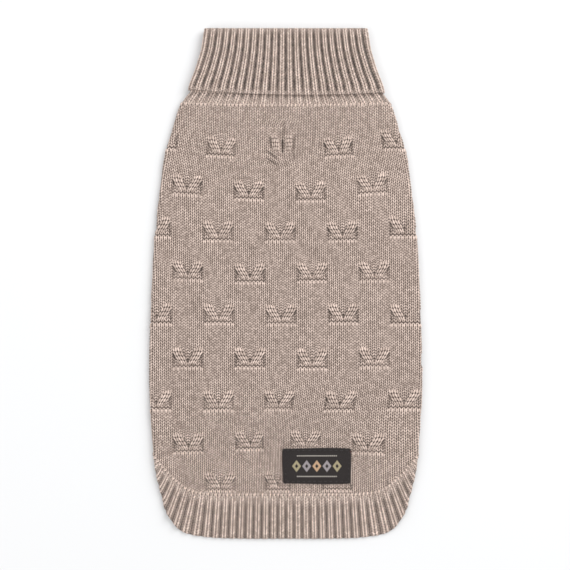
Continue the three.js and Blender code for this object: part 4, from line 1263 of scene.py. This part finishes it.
def label_patch():
    skin = Skin()
    middle, half = (LABEL_LOW + LABEL_HIGH) / 2, (LABEL_HIGH - LABEL_LOW) / 2
    u = np.linspace(-1, 1, LABEL_COLUMNS + 1)[None, :]
    v = np.linspace(-1, 1, LABEL_ROWS + 1)[:, None]

    # A little out of true, as a hand-sewn patch is, with soft corners
    corner = 360 * np.clip(np.abs(u) - 0.965, 0, 1) * np.clip(np.abs(v) - 0.93, 0, 1)
    bow_x = 0.25 * np.sin(v * 2.1 + 0.6) * np.sign(u) * np.abs(u) ** 6
    bow_y = 0.3 * np.sin(u * 3.0 + 0.8) * np.abs(v) ** 5 * np.sign(v)
    x = middle[0] - 0.4 + u * (half[0] + 0.4) + bow_x - np.sign(u) * np.minimum(corner, 0.3)
    y = middle[1] - 0.2 + v * (half[1] + 0.1) + bow_y - np.sign(v) * np.minimum(corner, 0.3)
    edge = np.minimum((1 - np.abs(u)) * half[0], (1 - np.abs(v)) * half[1])
    rounded = 1 - np.sqrt(np.clip(1 - (1 - np.clip(edge / 0.7, 0, 1)) ** 2, 0, 1))
    folded = 0.22 * ease((np.abs(u) * half[0] - half[0] + 4.2) / 0.8)
    sewn = 0.28 * ease(1 - np.abs(edge - 1.7) / 1.1)
    waves = 0.12 * np.sin(u * 7 + 1) * np.sin(v * 3 + 0.4) * np.clip(edge / 3, 0, 1)
    top = LABEL_GAP + LABEL_THICK + 0 * edge - 0.75 * rounded + folded - sewn + waves
    maps = (u * half[0] + 0 * v, v * half[1] + 0 * u)
    face = skin.add(on_body(x, y, 0, top), *maps, 0)
    back = skin.add(on_body(x[::8, ::8], y[::8, ::8], 0, LABEL_GAP), maps[0][::8, ::8],
                    maps[1][::8, ::8], 0)
    skin.quads(face)
    skin.quads(back)

    def once_round(grid):
        return np.concatenate([grid[0, :-1], grid[:-1, -1], grid[-1, :0:-1], grid[:0:-1, 0]])

    fine, coarse = once_round(face), once_round(back)
    fine, coarse = np.append(fine, fine[0]), np.append(coarse, coarse[0])
    for i in range(len(coarse) - 1):
        run = fine[8 * i : 8 * i + 9].tolist()
        skin.faces.append([coarse[i], *run, coarse[i + 1]])
    return skin.make("label_patch", label_weave)


label_cloth = label_patch()
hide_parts("label")


# Black thread stitches hold the label down all round. At one corner the knot shows, in a
# reddish thread.
def thread_finish(name, colour):
    finish = Finish(name, roughness=0.7, sheen=0.2, sheen_tint=(0.8, 0.75, 0.7))
    place = finish.node("ShaderNodeUVMap", {"uv_map": "knit"})
    across, along_it, _ = finish.split(place)
    twist = abs((across * 2 + along_it * 3).fraction() * 2 - 1)
    shade = finish.mix(twist.step(0.1, 0.9), tuple(c * 0.45 for c in colour), colour)
    finish.dress(shade, twist, 0.0001)
    return finish.material


def thread_stitches(name, spots, finish):
    """Short threads that rise from the cloth and dive again: x, y, turn and length of each."""
    skin = Skin()
    share = np.linspace(0, 1, 9)
    around = np.arange(8) * math.pi / 4
    for x, y, turn, length in spots:
        way = np.array([math.cos(turn), math.sin(turn)])
        thick = 0.32 * (0.55 + 0.45 * np.sin(share * math.pi))
        middle = np.array([x, y]) + np.outer((share - 0.5) * length, way)
        off = np.outer(thick, np.cos(around))
        px = middle[:, :1] - way[1] * off
        py = middle[:, 1:] + way[0] * off
        high = LABEL_GAP + LABEL_THICK - 0.35 + 0.35 * np.sin(share * math.pi)
        lift = high[:, None] + np.outer(thick, np.sin(around))
        ids = skin.add(on_body(px, py, 0, lift), around / math.pi, share[:, None] * 4, 0)
        skin.rod(ids)
    return skin.make(name, finish)


label_middle = (LABEL_LOW + LABEL_HIGH) / 2
label_half = (LABEL_HIGH - LABEL_LOW) / 2 - 1.7
spots = []
for k in range(12):
    across = (k - 5.5) / 5.5 * (label_half[0] - 1.6)
    wobble = 0.16 * math.sin(k * 2.4)
    for side in (1, -1):
        y = label_middle[1] + side * (label_half[1] + wobble)
        spots.append((label_middle[0] + across, y, 0.12 * math.sin(k * 1.9 + side), 2.4))
for k in range(6):
    up = (k - 2.5) / 2.5 * (label_half[1] - 1.6)
    for side in (1, -1):
        x = label_middle[0] + side * (label_half[0] + 0.14 * math.sin(k * 3.1))
        spots.append((x, label_middle[1] + up, math.pi / 2 + 0.1 * math.sin(k * 2.2 + side), 2.3))
label_thread = thread_stitches(
    "label_thread", spots, thread_finish("label_thread", (0.035, 0.03, 0.03)))
knot_x, knot_y = LABEL_HIGH[0] - 0.4, LABEL_HIGH[1] - 2.9
knot_spots = [(knot_x, knot_y, 0.5, 1.8), (knot_x - 0.2, knot_y + 0.5, -0.4, 1.6),
              (knot_x + 0.3, knot_y - 0.5, 1.3, 1.5)]
knot_thread = thread_stitches(
    "knot_thread", knot_spots, thread_finish("knot_thread", (0.12, 0.035, 0.03)))


# Studio: a pale table under soft light from all sides
bpy.ops.mesh.primitive_plane_add(size=6, location=(0, 0, 0))
table = bpy.context.object
table.name = "table_top"
table_finish = bpy.data.materials.new("table_paper")
table_finish.use_nodes = True
table_finish.node_tree.nodes["Principled BSDF"].inputs["Base Color"].default_value = (0.785, 0.79, 0.797, 1)
table.data.materials.append(table_finish)

world = bpy.data.worlds.new("studio")
bpy.context.scene.world = world
world.use_nodes = True
world.node_tree.nodes["Background"].inputs["Color"].default_value = (1, 1, 1, 1)
world.node_tree.nodes["Background"].inputs["Strength"].default_value = 0.75

for name, place, power, size in (
    ("window", (0.9, 1.0, 1.3), 25, 1.4),
    ("fill", (-1.2, -0.6, 1.4), 8, 1.5),
):
    lamp_data = bpy.data.lights.new(name, "AREA")
    lamp_data.energy = power
    lamp_data.size = size
    lamp = bpy.data.objects.new(name, lamp_data)
    lamp.location = place
    lamp.rotation_euler = (-Vector(place)).to_track_quat("-Z", "Y").to_euler()
    bpy.context.collection.objects.link(lamp)

bpy.context.scene.view_settings.view_transform = "Standard"
